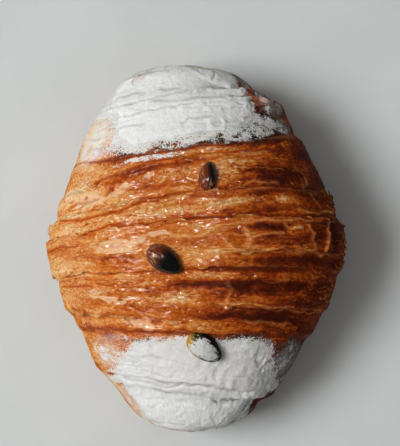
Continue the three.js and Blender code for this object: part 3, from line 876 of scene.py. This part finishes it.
# Fine folds along the layers, each a dark line beside a pale lip: the dark line is partly crack colour and
# partly painted shade, the pale lip a painted highlight.
gaps = add_node(tree, "MapRange", (pattern["gaps"], 0.4, 0.6))
stack_gaps = add_node(tree, "Math", (gaps, read["crinkles"]), operation="MULTIPLY")
fold_line_and_shade = 0.0
fold_highlight = 0.0
for phase, folds, shown in ((pattern["folds"], 9, gaps), (pattern["stacks"], 8, stack_gaps)):
    phase = add_node(tree, "Math", (phase, folds), operation="MULTIPLY")
    phase = add_node(tree, "Math", (phase,), operation="FRACT")
    line = add_node(tree, "MapRange", (phase, 0.05, 0.2, 1, 0))
    line = add_node(tree, "Math", (line, shown), operation="MULTIPLY")
    fold_line_and_shade = add_node(tree, "Math", (line, fold_line_and_shade), operation="MAXIMUM")
    lip = add_node(tree, "MapRange", (phase, 0.78, 0.95))
    lip = add_node(tree, "Math", (lip, shown), operation="MULTIPLY")
    fold_highlight = add_node(tree, "Math", (lip, fold_highlight), operation="MAXIMUM")
tone = add_node(tree, "Math", (fold_highlight, FOLD_HIGHLIGHT_TONE, tone), operation="MULTIPLY_ADD")
crack_share = add_node(tree, "Math", (read["cracks"], CRACK_SHARE), operation="MULTIPLY")
fold_shade_share = add_node(tree, "Math", (fold_line_and_shade, FOLD_SHADE_SHARE), operation="MULTIPLY")
crack_share = add_node(tree, "Math", (crack_share, fold_shade_share), operation="MAXIMUM")
tone = add_node(tree, "Mix", {0: crack_share, 2: tone, 3: CRACK_TONE}, data_type="FLOAT")

# Sugar lies on it in specks, or as a grainy film. Where a little lies on dark crust, the crust between the
# specks is mixed toward dark grey-brown: partly the dust's own colour, partly painted shade under the
# grains.
speckle = {"Vector": object_place, "Scale": 1 / (SUGAR_GRAIN * MM), "Detail": 2, "Roughness": 0.7}
speckle = add_node(tree, "MapRange", (add_node(tree, "TexNoise", speckle), 0.3, 0.7))
dust = add_node(tree, "Math", (read["sugar"], 1.4, -0.2), operation="MULTIPLY_ADD")
dust = add_node(tree, "Math", (dust, speckle), operation="SUBTRACT")
dust = add_node(tree, "MapRange", (dust, -0.12, 0.12), interpolation_type="SMOOTHSTEP")
film = add_node(tree, "MapRange", (speckle, 0, 1, 1.4, 0.5))
film = add_node(tree, "Math", (read["veil"], film), operation="MULTIPLY", use_clamp=True)
dust = add_node(tree, "Math", (dust, film), operation="MAXIMUM")
dust_and_shade_share = add_node(tree, "Math", (read["sugar"], read["veil"]), operation="MAXIMUM")
dust_and_shade_share = add_node(tree, "MapRange", (dust_and_shade_share, 0.05, 0.45, 0, 0.8))
dark_tone = add_node(tree, "MapRange", (tone, 0.42, 0.68))
dust_and_shade_share = add_node(tree, "Math", (dust_and_shade_share, dark_tone), operation="MULTIPLY")
peel_and_sheen_share = add_node(tree, "Math", (bare_dough_and_sheen, 0.45), operation="MULTIPLY")
# The pale lips carry a painted highlight.
lit_lip_share = add_node(tree, "Math", (read["lit_lips"], 0.12), operation="MULTIPLY")
crust_colour = add_node(tree, "ValToRGB", (tone,))
set_stops(crust_colour.node.color_ramp, CRUST_TONES)
for share, colour in (
    (peel_and_sheen_share, PEELED_AND_SHEEN_COLOUR), (lit_lip_share, LIT_LIP_COLOUR),
    (dust_and_shade_share, DUSTED_CRUST_AND_SHADE_COLOUR), (dust, SUGAR_COLOUR),
):
    colours = {0: share, 6: crust_colour, 7: to_linear(colour)}
    crust_colour = add_node(tree, "Mix", colours, 2, data_type="RGBA")

roughness = add_node(tree, "MapRange", (read["glaze"], 0, 1, 0.65, 0.5))
roughness = add_node(tree, "Mix", {0: dust, 2: roughness, 3: SUGAR_ROUGHNESS}, data_type="FLOAT")
bare = add_node(tree, "Math", (1.0, dust), operation="SUBTRACT")
coat = add_node(tree, "Math", (read["glaze"], bare), operation="MULTIPLY")
coat = add_node(tree, "Math", (coat, 0.85), operation="MULTIPLY")
bursts = add_node(tree, "Math", (pattern["froth"], read["bubbles"]), operation="MULTIPLY")
wrinkles = pattern["wrinkles"]
skin_relief = (
    (pattern["grain"], 0.15), (wrinkles, 0.6), (bursts, 0.5),
    (fold_line_and_shade, -0.05), (beads, 0.3), (leaf_step, 0.3),
)
glaze_relief = ((wrinkles, 0.8), (beads, 0.9), (leaf_step, 0.3))
bumps = []
for depth, parts in ((SKIN_DEPTH, skin_relief), (GLAZE_DEPTH, glaze_relief)):
    height = 0.0
    for part, share in parts:
        height = add_node(tree, "Math", (part, share, height), operation="MULTIPLY_ADD")
    bumps.append(add_node(tree, "Bump", {"Strength": 1.0, "Distance": depth * MM, "Height": height}))
shader = add_node(tree, "BsdfPrincipled", {
    "Base Color": crust_colour, "Roughness": roughness, "IOR": 1.45, "Normal": bumps[0],
    "Specular IOR Level": 0.03, "Coat Weight": coat, "Coat Roughness": 0.08, "Coat Normal": bumps[1],
    "Subsurface Weight": 0.35, "Subsurface Radius": (1.0, 0.35, 0.1), "Subsurface Scale": 1.4 * MM,
})
add_node(tree, "OutputMaterial", {"Surface": shader})
crust.data.materials.append(crust_finish)
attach(crust, "root")
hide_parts("croissant")

# The loose flakes
# Shards of the outermost skin, as thin as paper, that cracked along the edges of the turns as the roll
# puffed up. Each still sticks along one side and stands off the roll with the other.
FLAKE_COUNT = 90
FLAKE_THICKNESS = 0.13
FLAKE_GAP = 0.04
FLAKE_COLUMNS = 8
FLAKE_ROWS = 4
FLAKE_LENGTHS = (3.0, 9.0)
FLAKE_WIDTHS = (0.5, 1.5)
FLAKE_LIFTS = (0.0, 0.5)
FLAKE_SETBACKS = (0.2, 1.0)
FLAKE_JAGS = (0.7, 1.05)
FLAKE_UNEVENNESS = 0.15
FLAKE_SHARP_ANGLE = math.radians(50)
EDGES_WITH_FLAKES = 31
CROWN_DEGREES = 70
# On the flanks they stand off further, on the right one they are wider, and low on the left one they lie
# closer.
FLANK_DEGREES = 62
FLANK_LIFTS = (0.0, 0.3)
RIGHT_WIDENING = 1.6
LEFT_DEGREES = -70
LEFT_LIFT_SHARE = 0.4
ONWARD_STEP = 1.6
# What they have of the crust's values at their roots. Their lips are painted pale as a highlight on their
# lit edges.
FLAKE_SHARES = {"browning_and_shade": 1.0, "sugar": 0.6, "veil": 1.0, "glaze": 1.0}
FLAKE_LIT_LIP = 2.0
FLAKE_TONES = (-0.1, 0.06)
# Where more of them are: middle row and degrees, half sizes along and across the lines, and number.
FLAKE_CLUSTERS = [
    (-8, -86, 6, 3, 4),
    (16, -80, 6, 3, 4),
    (8, 58, 8, 2.5, 5),
    (-14, 40, 22, 4, 8),
    (23, 44, 14, 5, 8),
    (2, 74, 8, 8, 14),
    (-16, 70, 9, 6, 10),
    (15, 70, 8, 5, 7),
    (48, 64, 6, 4, 5),
]
FLAKE_SCATTER = 0.6
FLAKE_SEED = 11
WITHIN_LAST_CELL = 1.001


def on_grid(values, at_row, at_angle):
    row_spot = np.interp(at_row, roll_rows, np.arange(len(roll_rows)))
    row_spot = np.clip(row_spot, 0, len(roll_rows) - WITHIN_LAST_CELL)
    column_spot = np.interp(at_angle, roll_angles, np.arange(len(roll_angles)))
    column_spot = np.clip(column_spot, 0, len(roll_angles) - WITHIN_LAST_CELL)
    r = row_spot.astype(int)
    c = column_spot.astype(int)
    shape = (*r.shape, *(1 for _ in values.shape[2:]))
    row_share = (row_spot - r).reshape(shape)
    column_share = (column_spot - c).reshape(shape)
    near = values[r, c] * (1 - row_share) + values[r + 1, c] * row_share
    far = values[r, c + 1] * (1 - row_share) + values[r + 1, c + 1] * row_share
    return near * (1 - column_share) + far * column_share


rng = np.random.default_rng(FLAKE_SEED)
flake_roots = []
shown_edges = [edge for edge in TURN_EDGES if abs(edge["at"]) < EDGES_WITH_FLAKES]
for _ in range(FLAKE_COUNT):
    edge = shown_edges[rng.integers(len(shown_edges))]
    first, last = edge["shows"]
    inward = 1 if edge["at"] < 0 else -1
    root_row = edge["at"] + inward * rng.uniform(*FLAKE_SETBACKS)
    flake_roots.append((root_row, rng.uniform(max(first, -CROWN_DEGREES), min(last, CROWN_DEGREES))))
for at_row, at_degrees, round_spread, along_spread, count in FLAKE_CLUSTERS:
    for _ in range(count):
        turned = math.degrees(round_spread * rng.normal() * FLAKE_SCATTER / GIRTH_RADIUS)
        flake_roots.append((at_row + along_spread * rng.normal() * FLAKE_SCATTER, at_degrees + turned))

across_flake = np.linspace(-0.5, 0.5, FLAKE_COLUMNS)
out_of_flake = np.linspace(0, 1, FLAKE_ROWS)[:, None]
under = FLAKE_ROWS * FLAKE_COLUMNS
cells = np.arange(under).reshape(FLAKE_ROWS, FLAKE_COLUMNS)
top_faces = np.stack([cells[:-1, :-1], cells[:-1, 1:], cells[1:, 1:], cells[1:, :-1]], -1).reshape(-1, 4)
rim = np.concatenate([cells[0], cells[1:, -1], cells[-1, -2::-1], cells[-2:0:-1, 0]])
rim_faces = np.stack([rim, np.roll(rim, -1), np.roll(rim, -1) + under, rim + under], -1)
one_flake = np.concatenate([top_faces, top_faces[:, ::-1] + under, rim_faces[:, ::-1]])
flake_points = []
flake_values = {name: [] for name in crust_values}
flake_places = []
for root_row, root_degrees in flake_roots:
    length = rng.uniform(*FLAKE_LENGTHS)
    width = rng.uniform(*FLAKE_WIDTHS) * (RIGHT_WIDENING if root_degrees > FLANK_DEGREES else 1)
    lift = rng.uniform(*FLAKE_LIFTS)
    if abs(root_degrees) > FLANK_DEGREES:
        lift += rng.uniform(*FLANK_LIFTS)
    lift = lift * (LEFT_LIFT_SHARE if root_degrees < LEFT_DEGREES else 1)
    outward = -1 if root_row < 0 else 1
    jags = np.sqrt(np.clip(1 - (2 * across_flake) ** 2, 0, 1)) * rng.uniform(*FLAKE_JAGS, FLAKE_COLUMNS)
    angles = math.radians(root_degrees) + across_flake * length / GIRTH_RADIUS
    rows = np.full(FLAKE_COLUMNS, root_row)
    root = on_grid(surface, rows, angles)
    onward = (root - on_grid(surface, rows - outward * ONWARD_STEP, angles)).mean(0)
    onward = onward / np.linalg.norm(onward)
    outside = np.cross(root[-1] - root[0], onward)
    outside /= np.linalg.norm(outside)
    outside *= np.sign(outside @ (root.mean(0) - (0, root.mean(0)[1], BELLY_HEIGHT)))
    curl = lift * out_of_flake ** 2 * (1 + FLAKE_UNEVENNESS * rng.normal(size=FLAKE_COLUMNS))
    reach = width * out_of_flake * jags
    sheet = root + reach[..., None] * onward + (FLAKE_GAP + curl)[..., None] * outside
    flake_points += [(sheet + FLAKE_THICKNESS * outside).reshape(-1, 3), sheet.reshape(-1, 3)]
    for name, values in crust_values.items():
        at_root = FLAKE_SHARES.get(name, 0) * on_grid(values, rows, angles)
        flake_values[name].append(np.tile(at_root, 2 * FLAKE_ROWS))
    shares = np.tile(np.broadcast_to(out_of_flake, cells.shape).ravel(), 2)
    flake_values["lit_lips"][-1] = FLAKE_LIT_LIP * shares ** 3
    flake_values["browning_and_shade"][-1] += rng.uniform(*FLAKE_TONES)
    flake_places.append(np.tile(on_grid(dough_place, rows, angles), (2 * FLAKE_ROWS, 1)))
    flake_places[-1][:, 2] += outward * width * shares


def put_in_scene(name, mesh):
    made = bpy.data.objects.new(name, mesh)
    bpy.context.collection.objects.link(made)
    bpy.ops.object.select_all(action="DESELECT")
    made.select_set(True)
    bpy.context.view_layer.objects.active = made
    return made


flake_faces = np.concatenate([one_flake + 2 * under * k for k in range(len(flake_roots))])
flakes = put_in_scene("loose_flakes", bpy.data.meshes.new("loose_flakes"))
flakes.data.from_pydata((np.concatenate(flake_points) * MM).tolist(), [], flake_faces.tolist())
for name, values in flake_values.items():
    set_attribute(flakes.data, name, np.concatenate(values))
set_attribute(flakes.data, "dough_place", np.concatenate(flake_places))
turn_faces_outward()
bpy.ops.object.shade_smooth_by_angle(angle=FLAKE_SHARP_ANGLE)
flakes.data.materials.append(crust_finish)
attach(flakes, "root")

# The icing sugar
# A coat of icing sugar sifted over both ends through a fine sieve. It is up to half a millimetre thick,
# fills the fine grooves, and leaves the steep edges of the turns bare.
SUGAR_THICKNESS = 0.3
SUGAR_HIDDEN = 0.3
SUGAR_CUT = -0.16
LUMP_SIZE = 1.6
SMALL_LUMPS = 2.7
CRAG_SIZE = 4.2
CRAG_SHIFT = 9

coat_of_sugar = put_in_scene("icing_sugar", crust.data.copy())
coat_of_sugar.data.materials.clear()
cover = smooth_ramp(lying_sugar, 0.82, 1.0) * smooth_ramp(crust_normals[:, 2], 0.25, 0.55)
lump_places = crust_points / (LUMP_SIZE * MM)
lumps = noise_at(lump_places) + 0.7 * noise_at(SMALL_LUMPS * lump_places)
crags = 1 - 2.4 * np.abs(noise_at(crust_points / (CRAG_SIZE * MM) + CRAG_SHIFT))
thickness = SUGAR_THICKNESS * cover ** 2 * (1 + 0.4 * lumps + 0.6 * crags)
thickness = thickness - SUGAR_HIDDEN * (1 - cover) * (1 + 0.5 * lumps)
sugar_points = crust_points + crust_normals * thickness[:, None] * MM
coat_of_sugar.data.vertices.foreach_set("co", sugar_points.ravel())
bpy.ops.object.mode_set(mode="EDIT")
bpy.ops.mesh.select_all(action="DESELECT")
bpy.ops.object.mode_set(mode="OBJECT")
coat_of_sugar.data.vertices.foreach_set("select", thickness < SUGAR_CUT)
bpy.ops.object.mode_set(mode="EDIT")
bpy.ops.mesh.delete(type="VERT")
bpy.ops.object.mode_set(mode="OBJECT")

# Fine white powder: dull, faintly grey in its hollows as painted shade, with light spreading a little way
# through it. Between the roll's middle and its low tip it is greyer.
POWDER_AND_HOLLOW_SHADE_COLOURS = {0.25: "#dad9d7", 0.6: "#ecebea"}
BARE_SPECK_COLOUR = "#5f544b"
GREYER_POWDER_COLOUR = "#b3aca4"
# Its patterns, each by its size and its settings.
POWDER_PATTERNS = {
    "powder": (0.8, {"Detail": 4, "Roughness": 0.65}),
    "bare specks": (0.9, {"Detail": 3, "Roughness": 0.7}),
    "drifts": (3.0, {"Detail": 3, "Distortion": 0.5}),
}
GREYER_ROWS = (-28, -36)
LOW_TIP_ROWS = (-56, -50)
SLIDE_ROWS = (0, -30)
SLIDE_SIZES = (1.7, 7, 7)
SLIDE_TURN = math.radians(25)

sugar_finish = new_finish("sifted_icing_sugar")
tree = sugar_finish.node_tree
object_place = add_node(tree, "TexCoord", {}, "Object")
read = {name: add_node(tree, "Attribute", {}, "Fac", attribute_name=name) for name in ("cracks", "sugar")}
pattern = {}
for name, (size, settings) in POWDER_PATTERNS.items():
    scale = 1 / (size * MM)
    pattern[name] = add_node(tree, "TexNoise", {"Vector": object_place, "Scale": scale, **settings})
bare_specks = add_node(tree, "Math", (read["sugar"], -0.5, pattern["bare specks"]), operation="MULTIPLY_ADD")
bare_specks = add_node(tree, "MapRange", (bare_specks, 0.17, 0.29, 0, 0.75))
bare_specks = add_node(tree, "Math", (read["cracks"], 0.5, bare_specks), operation="MULTIPLY_ADD")
lengthways = add_node(tree, "SeparateXYZ", (object_place,), 1)
greyer = add_node(tree, "MapRange", (lengthways, *(row * MM for row in GREYER_ROWS), 0, 0.2))
off_tip = add_node(tree, "MapRange", (lengthways, *(row * MM for row in LOW_TIP_ROWS)))
greyer = add_node(tree, "Math", (greyer, off_tip), operation="MULTIPLY")
powder_colour = add_node(tree, "ValToRGB", (pattern["powder"],))
set_stops(powder_colour.node.color_ramp, POWDER_AND_HOLLOW_SHADE_COLOURS)
for share, colour in ((bare_specks, BARE_SPECK_COLOUR), (greyer, GREYER_POWDER_COLOUR)):
    colours = {0: share, 6: powder_colour, 7: to_linear(colour)}
    powder_colour = add_node(tree, "Mix", colours, 2, data_type="RGBA")
slide_scale = [1 / (size * MM) for size in SLIDE_SIZES]
slide_place = {"Vector": object_place, "Rotation": (0, 0, SLIDE_TURN), "Scale": slide_scale}
slide_place = add_node(tree, "Mapping", slide_place)
slides = add_node(tree, "TexNoise", {"Vector": slide_place, "Scale": 1, "Detail": 3})
low_end = add_node(tree, "MapRange", (lengthways, *(row * MM for row in SLIDE_ROWS), 0.2, 0.9))
height = add_node(tree, "Math", (pattern["drifts"], 2.2, pattern["powder"]), operation="MULTIPLY_ADD")
height = add_node(tree, "Math", (slides, low_end, height), operation="MULTIPLY_ADD")
bump = add_node(tree, "Bump", {"Strength": 0.6, "Distance": 0.4 * MM, "Height": height})
shader = add_node(tree, "BsdfPrincipled", {
    "Base Color": powder_colour, "Roughness": SUGAR_ROUGHNESS, "IOR": 1.4, "Normal": bump,
    "Subsurface Weight": 0.2, "Subsurface Radius": (1.0, 1.0, 1.0), "Subsurface Scale": 0.6 * MM,
})
add_node(tree, "OutputMaterial", {"Surface": shader})
coat_of_sugar.data.materials.append(sugar_finish)
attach(coat_of_sugar, "root")

# The pistachio kernels
# Three shelled kernels pressed into the crown: each is an egg-shaped seed of two halves in a thin, wrinkled
# skin, glazed with the crust. The lowest was under the sieve and is dusted with sugar.
KERNEL_LENGTH = 14.6
KERNEL_WIDTH = 9.2
KERNEL_THICKNESS = 8.2
KERNEL_TAPER = 0.16
KERNEL_SEGMENTS = 96
KERNEL_RINGS = 64
SEAM_DEPTH = 0.35
SEAM_WIDTH = 0.16
WRINKLE_DEPTH = 0.16
WRINKLE_SIZES = (0.7, 0.22, 0.22)
WRINKLE_SHIFT = (0, 0, 5)
# How each kernel's skin is coloured: the way, across and along the roll, in which it darkens towards its
# side away from the window as painted shade, and where that starts and ends in mm, and the same for its pale
# streaks.
KERNEL_SKINS = {
    "pistachio_upper": ((1, 0.1), -0.4, 0.9, (-0.8, -0.6), -0.8, 1.2),
    "pistachio_middle": ((0.85, -0.5), -4.2, 0.6, (-0.85, 0.5), 1, 3.4),
    "pistachio_sugared": ((0.95, 0.3), -4.2, -1.8, (-0.6, 0.8), 3, 6),
}
# Where the dusted one's sugar lies: the way it fell, and the way towards the bare side.
SIFTING_WAY = (-0.2, -0.18, 0.96)
BARE_WAY = (-0.6, 0.8)

# The kernels' skin is thin and glazed: red-brown, going on the side away from the window to a green that is
# almost black, partly the skin's own colour and partly painted shade, with pale streaks where it wrinkles.
# That of the dusted one is yellower and dull under specks of sugar.
KERNEL_DUST_COLOUR = "#dedddb"
KERNEL_DUST_GRAIN = 0.6
KERNEL_WRINKLE_SIZES = (2.8, 0.9, 0.9)
kernel_skin = new_finish("glazed_kernel_skin")
dusted_skin = new_finish("sugared_kernel_skin")
for finish, brown, dark, pale, glossy in (
    (kernel_skin, "#6c2a10", "#0a0c07", "#d9b183", 1.0),
    (dusted_skin, "#b88c2e", "#12140c", "#cdb44e", 0.1),
):
    tree = finish.node_tree
    place = add_node(tree, "Attribute", {}, "Vector", attribute_name="kernel_place")
    read = {
        name: add_node(tree, "Attribute", {}, "Fac", attribute_name=name)
        for name in ("shaded_side", "streaked", "dusted")
    }
    wrinkle_place = {"Vector": place, "Scale": [1 / size for size in KERNEL_WRINKLE_SIZES]}
    wrinkle_place = add_node(tree, "Mapping", wrinkle_place)
    wrinkles = {"Vector": wrinkle_place, "Scale": 1, "Detail": 2, "Distortion": 0.6}
    wrinkles = add_node(tree, "TexNoise", wrinkles)
    pale_share = add_node(tree, "MapRange", (wrinkles, 0.52, 0.68, 0, 0.55))
    pale_share = add_node(tree, "Math", (pale_share, read["streaked"]), operation="MULTIPLY")
    speckle = {"Vector": place, "Scale": 1 / KERNEL_DUST_GRAIN, "Detail": 2, "Roughness": 0.7}
    speckle = add_node(tree, "TexNoise", speckle)
    speckle = add_node(tree, "Math", (wrinkles, 0.8, speckle), operation="MULTIPLY_ADD")
    speckle = add_node(tree, "MapRange", (speckle, 0.68, 1.12))
    dust = add_node(tree, "Math", (read["dusted"], 1.3, -0.22), operation="MULTIPLY_ADD")
    dust = add_node(tree, "Math", (dust, speckle), operation="SUBTRACT")
    dust = add_node(tree, "MapRange", (dust, -0.16, 0.16, 0, 0.92), interpolation_type="SMOOTHSTEP")
    kernel_colour = to_linear(brown)
    for share, colour in ((read["shaded_side"], dark), (pale_share, pale), (dust, KERNEL_DUST_COLOUR)):
        colours = {0: share, 6: kernel_colour, 7: to_linear(colour)}
        kernel_colour = add_node(tree, "Mix", colours, 2, data_type="RGBA")
    roughness = add_node(tree, "MapRange", (dust, 0, 1, 0.5, SUGAR_ROUGHNESS))
    height = add_node(tree, "Math", (speckle, 0.3, wrinkles), operation="MULTIPLY_ADD")
    bump = add_node(tree, "Bump", {"Strength": 1.0, "Distance": 0.5 * MM, "Height": height})
    glaze_bump = add_node(tree, "Bump", {"Strength": 0.5, "Distance": 0.4 * MM, "Height": wrinkles})
    shader = add_node(tree, "BsdfPrincipled", {
        "Base Color": kernel_colour, "Roughness": roughness, "IOR": 1.45, "Normal": bump,
        "Specular IOR Level": 0.03, "Coat Weight": glossy, "Coat Roughness": 0.1, "Coat Normal": glaze_bump,
    })
    add_node(tree, "OutputMaterial", {"Surface": shader})

for name, (shade_way, shade_from, shade_to, streak_way, streaks_from, streaks_to) in KERNEL_SKINS.items():
    solid_points = read_points(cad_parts[name].data)[0] / MM
    middle = (solid_points.max(0) + solid_points.min(0)) / 2
    axes = np.linalg.svd(solid_points - solid_points.mean(0), full_matrices=False)[2]
    spread = (solid_points - middle) @ axes.T
    thick = np.hypot(spread[:, 1], spread[:, 2])
    long_axis = axes[0] if thick[spread[:, 0] > 1].mean() < thick[spread[:, 0] < -1].mean() else -axes[0]
    thin_axis = axes[2] if axes[2][2] > 0 else -axes[2]
    wide_axis = np.cross(thin_axis, long_axis)
    middle = middle + axes.T @ ((spread.max(0) + spread.min(0)) / 2)
    size = (spread[:, 0].max() - spread[:, 0].min()) / KERNEL_LENGTH

    bpy.ops.object.select_all(action="DESELECT")
    bpy.ops.mesh.primitive_uv_sphere_add(
        segments=KERNEL_SEGMENTS, ring_count=KERNEL_RINGS, radius=1, location=(0, 0, 0)
    )
    kernel = bpy.context.object
    kernel.name = name + "_kernel"
    ball = read_points(kernel.data)[0][:, [2, 0, 1]].astype(float)
    along, wide, thin = ball.T
    taper = 1 - KERNEL_TAPER * along
    seam = SEAM_DEPTH * bell(thin, SEAM_WIDTH) * (1 - along ** 2)
    wrinkling = noise_at(ball / WRINKLE_SIZES + WRINKLE_SHIFT)
    grown = 1 - WRINKLE_DEPTH * np.abs(wrinkling) / (KERNEL_WIDTH / 2)
    local = np.stack([
        along * KERNEL_LENGTH / 2,
        wide * (taper * (KERNEL_WIDTH / 2 - seam)) * grown,
        thin * taper * (KERNEL_THICKNESS / 2) * grown,
    ], -1)
    offset = size * (local @ np.array([long_axis, wide_axis, thin_axis]))
    kernel.data.vertices.foreach_set("co", ((middle + offset) * MM).astype(np.float32).ravel())
    kernel.data.update()
    facing = read_points(kernel.data)[1]
    shaded_side = smooth_ramp(offset[:, :2] @ shade_way + 0.8 * wrinkling, shade_from, shade_to)
    streaked = smooth_ramp(offset[:, :2] @ streak_way + 0.8 * wrinkling, streaks_from, streaks_to)
    dusted = np.zeros(len(offset))
    if name == "pistachio_sugared":
        toward_bare = smooth_ramp(offset[:, :2] @ BARE_WAY, 1.5, 5.5)
        dusted = smooth_ramp(facing @ SIFTING_WAY, 0.3, 0.95) * (1 - 0.7 * toward_bare)
    for attribute, values in {
        "shaded_side": shaded_side, "streaked": streaked, "dusted": dusted, "kernel_place": local,
    }.items():
        set_attribute(kernel.data, attribute, values)
    turn_faces_outward()
    bpy.ops.object.shade_smooth()
    kernel.data.materials.append(dusted_skin if name == "pistachio_sugared" else kernel_skin)
    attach(kernel, "root")
    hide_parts(name)

# The table, the light and the camera
# A plain pale table top, a tall window on the left as one large soft lamp, and weak light from all round.
TABLE_SIZE = 6000
TABLE_DROP = 0.05
TABLE_COLOURS = {0.3: "#c4c8c8", 0.7: "#cdd0d0"}
CLOUD_SIZE = 45
bpy.ops.object.select_all(action="DESELECT")
bpy.ops.mesh.primitive_plane_add(size=TABLE_SIZE * MM, location=(0, 0, -TABLE_DROP * MM))
table_top = bpy.context.object
table_top.name = "table_top"
table_finish = new_finish("pale_limewashed_board")
tree = table_finish.node_tree
object_place = add_node(tree, "TexCoord", {}, "Object")
clouds = add_node(tree, "TexNoise", {"Vector": object_place, "Scale": 1 / (CLOUD_SIZE * MM), "Detail": 5})
table_colour = add_node(tree, "ValToRGB", (clouds,))
set_stops(table_colour.node.color_ramp, TABLE_COLOURS)
shader = add_node(tree, "BsdfPrincipled", {"Base Color": table_colour, "Roughness": 0.8})
add_node(tree, "OutputMaterial", {"Surface": shader})
table_top.data.materials.append(table_finish)

# The window's bright middle pane shows as glints in the glaze, and so does a small skylight in what faces
# away from the window. The pale ceiling gives soft light from straight above, too broad and dim to show as a
# highlight.
WINDOW_DISTANCE = 1800
WINDOW_ELEVATION = math.radians(53)
WINDOW_AZIMUTH = math.radians(181)
window_way = Vector((
    math.cos(WINDOW_AZIMUTH) * math.cos(WINDOW_ELEVATION),
    math.sin(WINDOW_AZIMUTH) * math.cos(WINDOW_ELEVATION),
    math.sin(WINDOW_ELEVATION),
))
window_place = window_way * WINDOW_DISTANCE
window_turn = window_way.to_track_quat("Z", "Y").to_euler()
# Each lamp by its place, how it is turned, its width and height, its power in watts, its colour, and the
# light that it doesn't give.
LAMPS = {
    "window": (window_place, window_turn, 800, 700, 28, (0.98, 1.0, 1.0), "visible_glossy"),
    "pane": (window_place, window_turn, 550, 550, 65, (1.0, 0.96, 0.92), "visible_diffuse"),
    "skylight": (Vector((150, 200, 1900)), (0, 0, 0), 300, 300, 13, (1.0, 0.96, 0.92), "visible_diffuse"),
    "ceiling": (Vector((-300, 100, 2000)), (0, 0, 0), 2200, 2200, 9, (1.0, 0.97, 0.92), "visible_glossy"),
}
for name, (place, turn, width, height, power, colour, without) in LAMPS.items():
    bpy.ops.object.light_add(type="AREA", location=place * MM, rotation=turn)
    lamp = bpy.context.object
    lamp.name = name
    lamp.data.shape = "RECTANGLE"
    lamp.data.size = width * MM
    lamp.data.size_y = height * MM
    lamp.data.energy = power
    lamp.data.color = colour
    setattr(lamp, without, False)

ROOM_LIGHT = 0.05
world = bpy.data.worlds.new("room")
bpy.context.scene.world = world
world.use_nodes = True
world.node_tree.nodes["Background"].inputs["Color"].default_value = (1, 1, 1, 1)
world.node_tree.nodes["Background"].inputs["Strength"].default_value = ROOM_LIGHT
bpy.context.scene.view_settings.view_transform = "Standard"

CAMERA_PLACE = Vector((1.52, -15.15, 498.63))
CAMERA_ELEVATION = math.radians(87)
bpy.ops.object.camera_add(location=CAMERA_PLACE * MM, rotation=(math.pi / 2 - CAMERA_ELEVATION, 0, 0))
camera = bpy.context.object
camera.data.lens = 100
camera.data.sensor_width = 36
camera.data.clip_start = 0.01
camera.data.clip_end = 10
bpy.context.scene.camera = camera
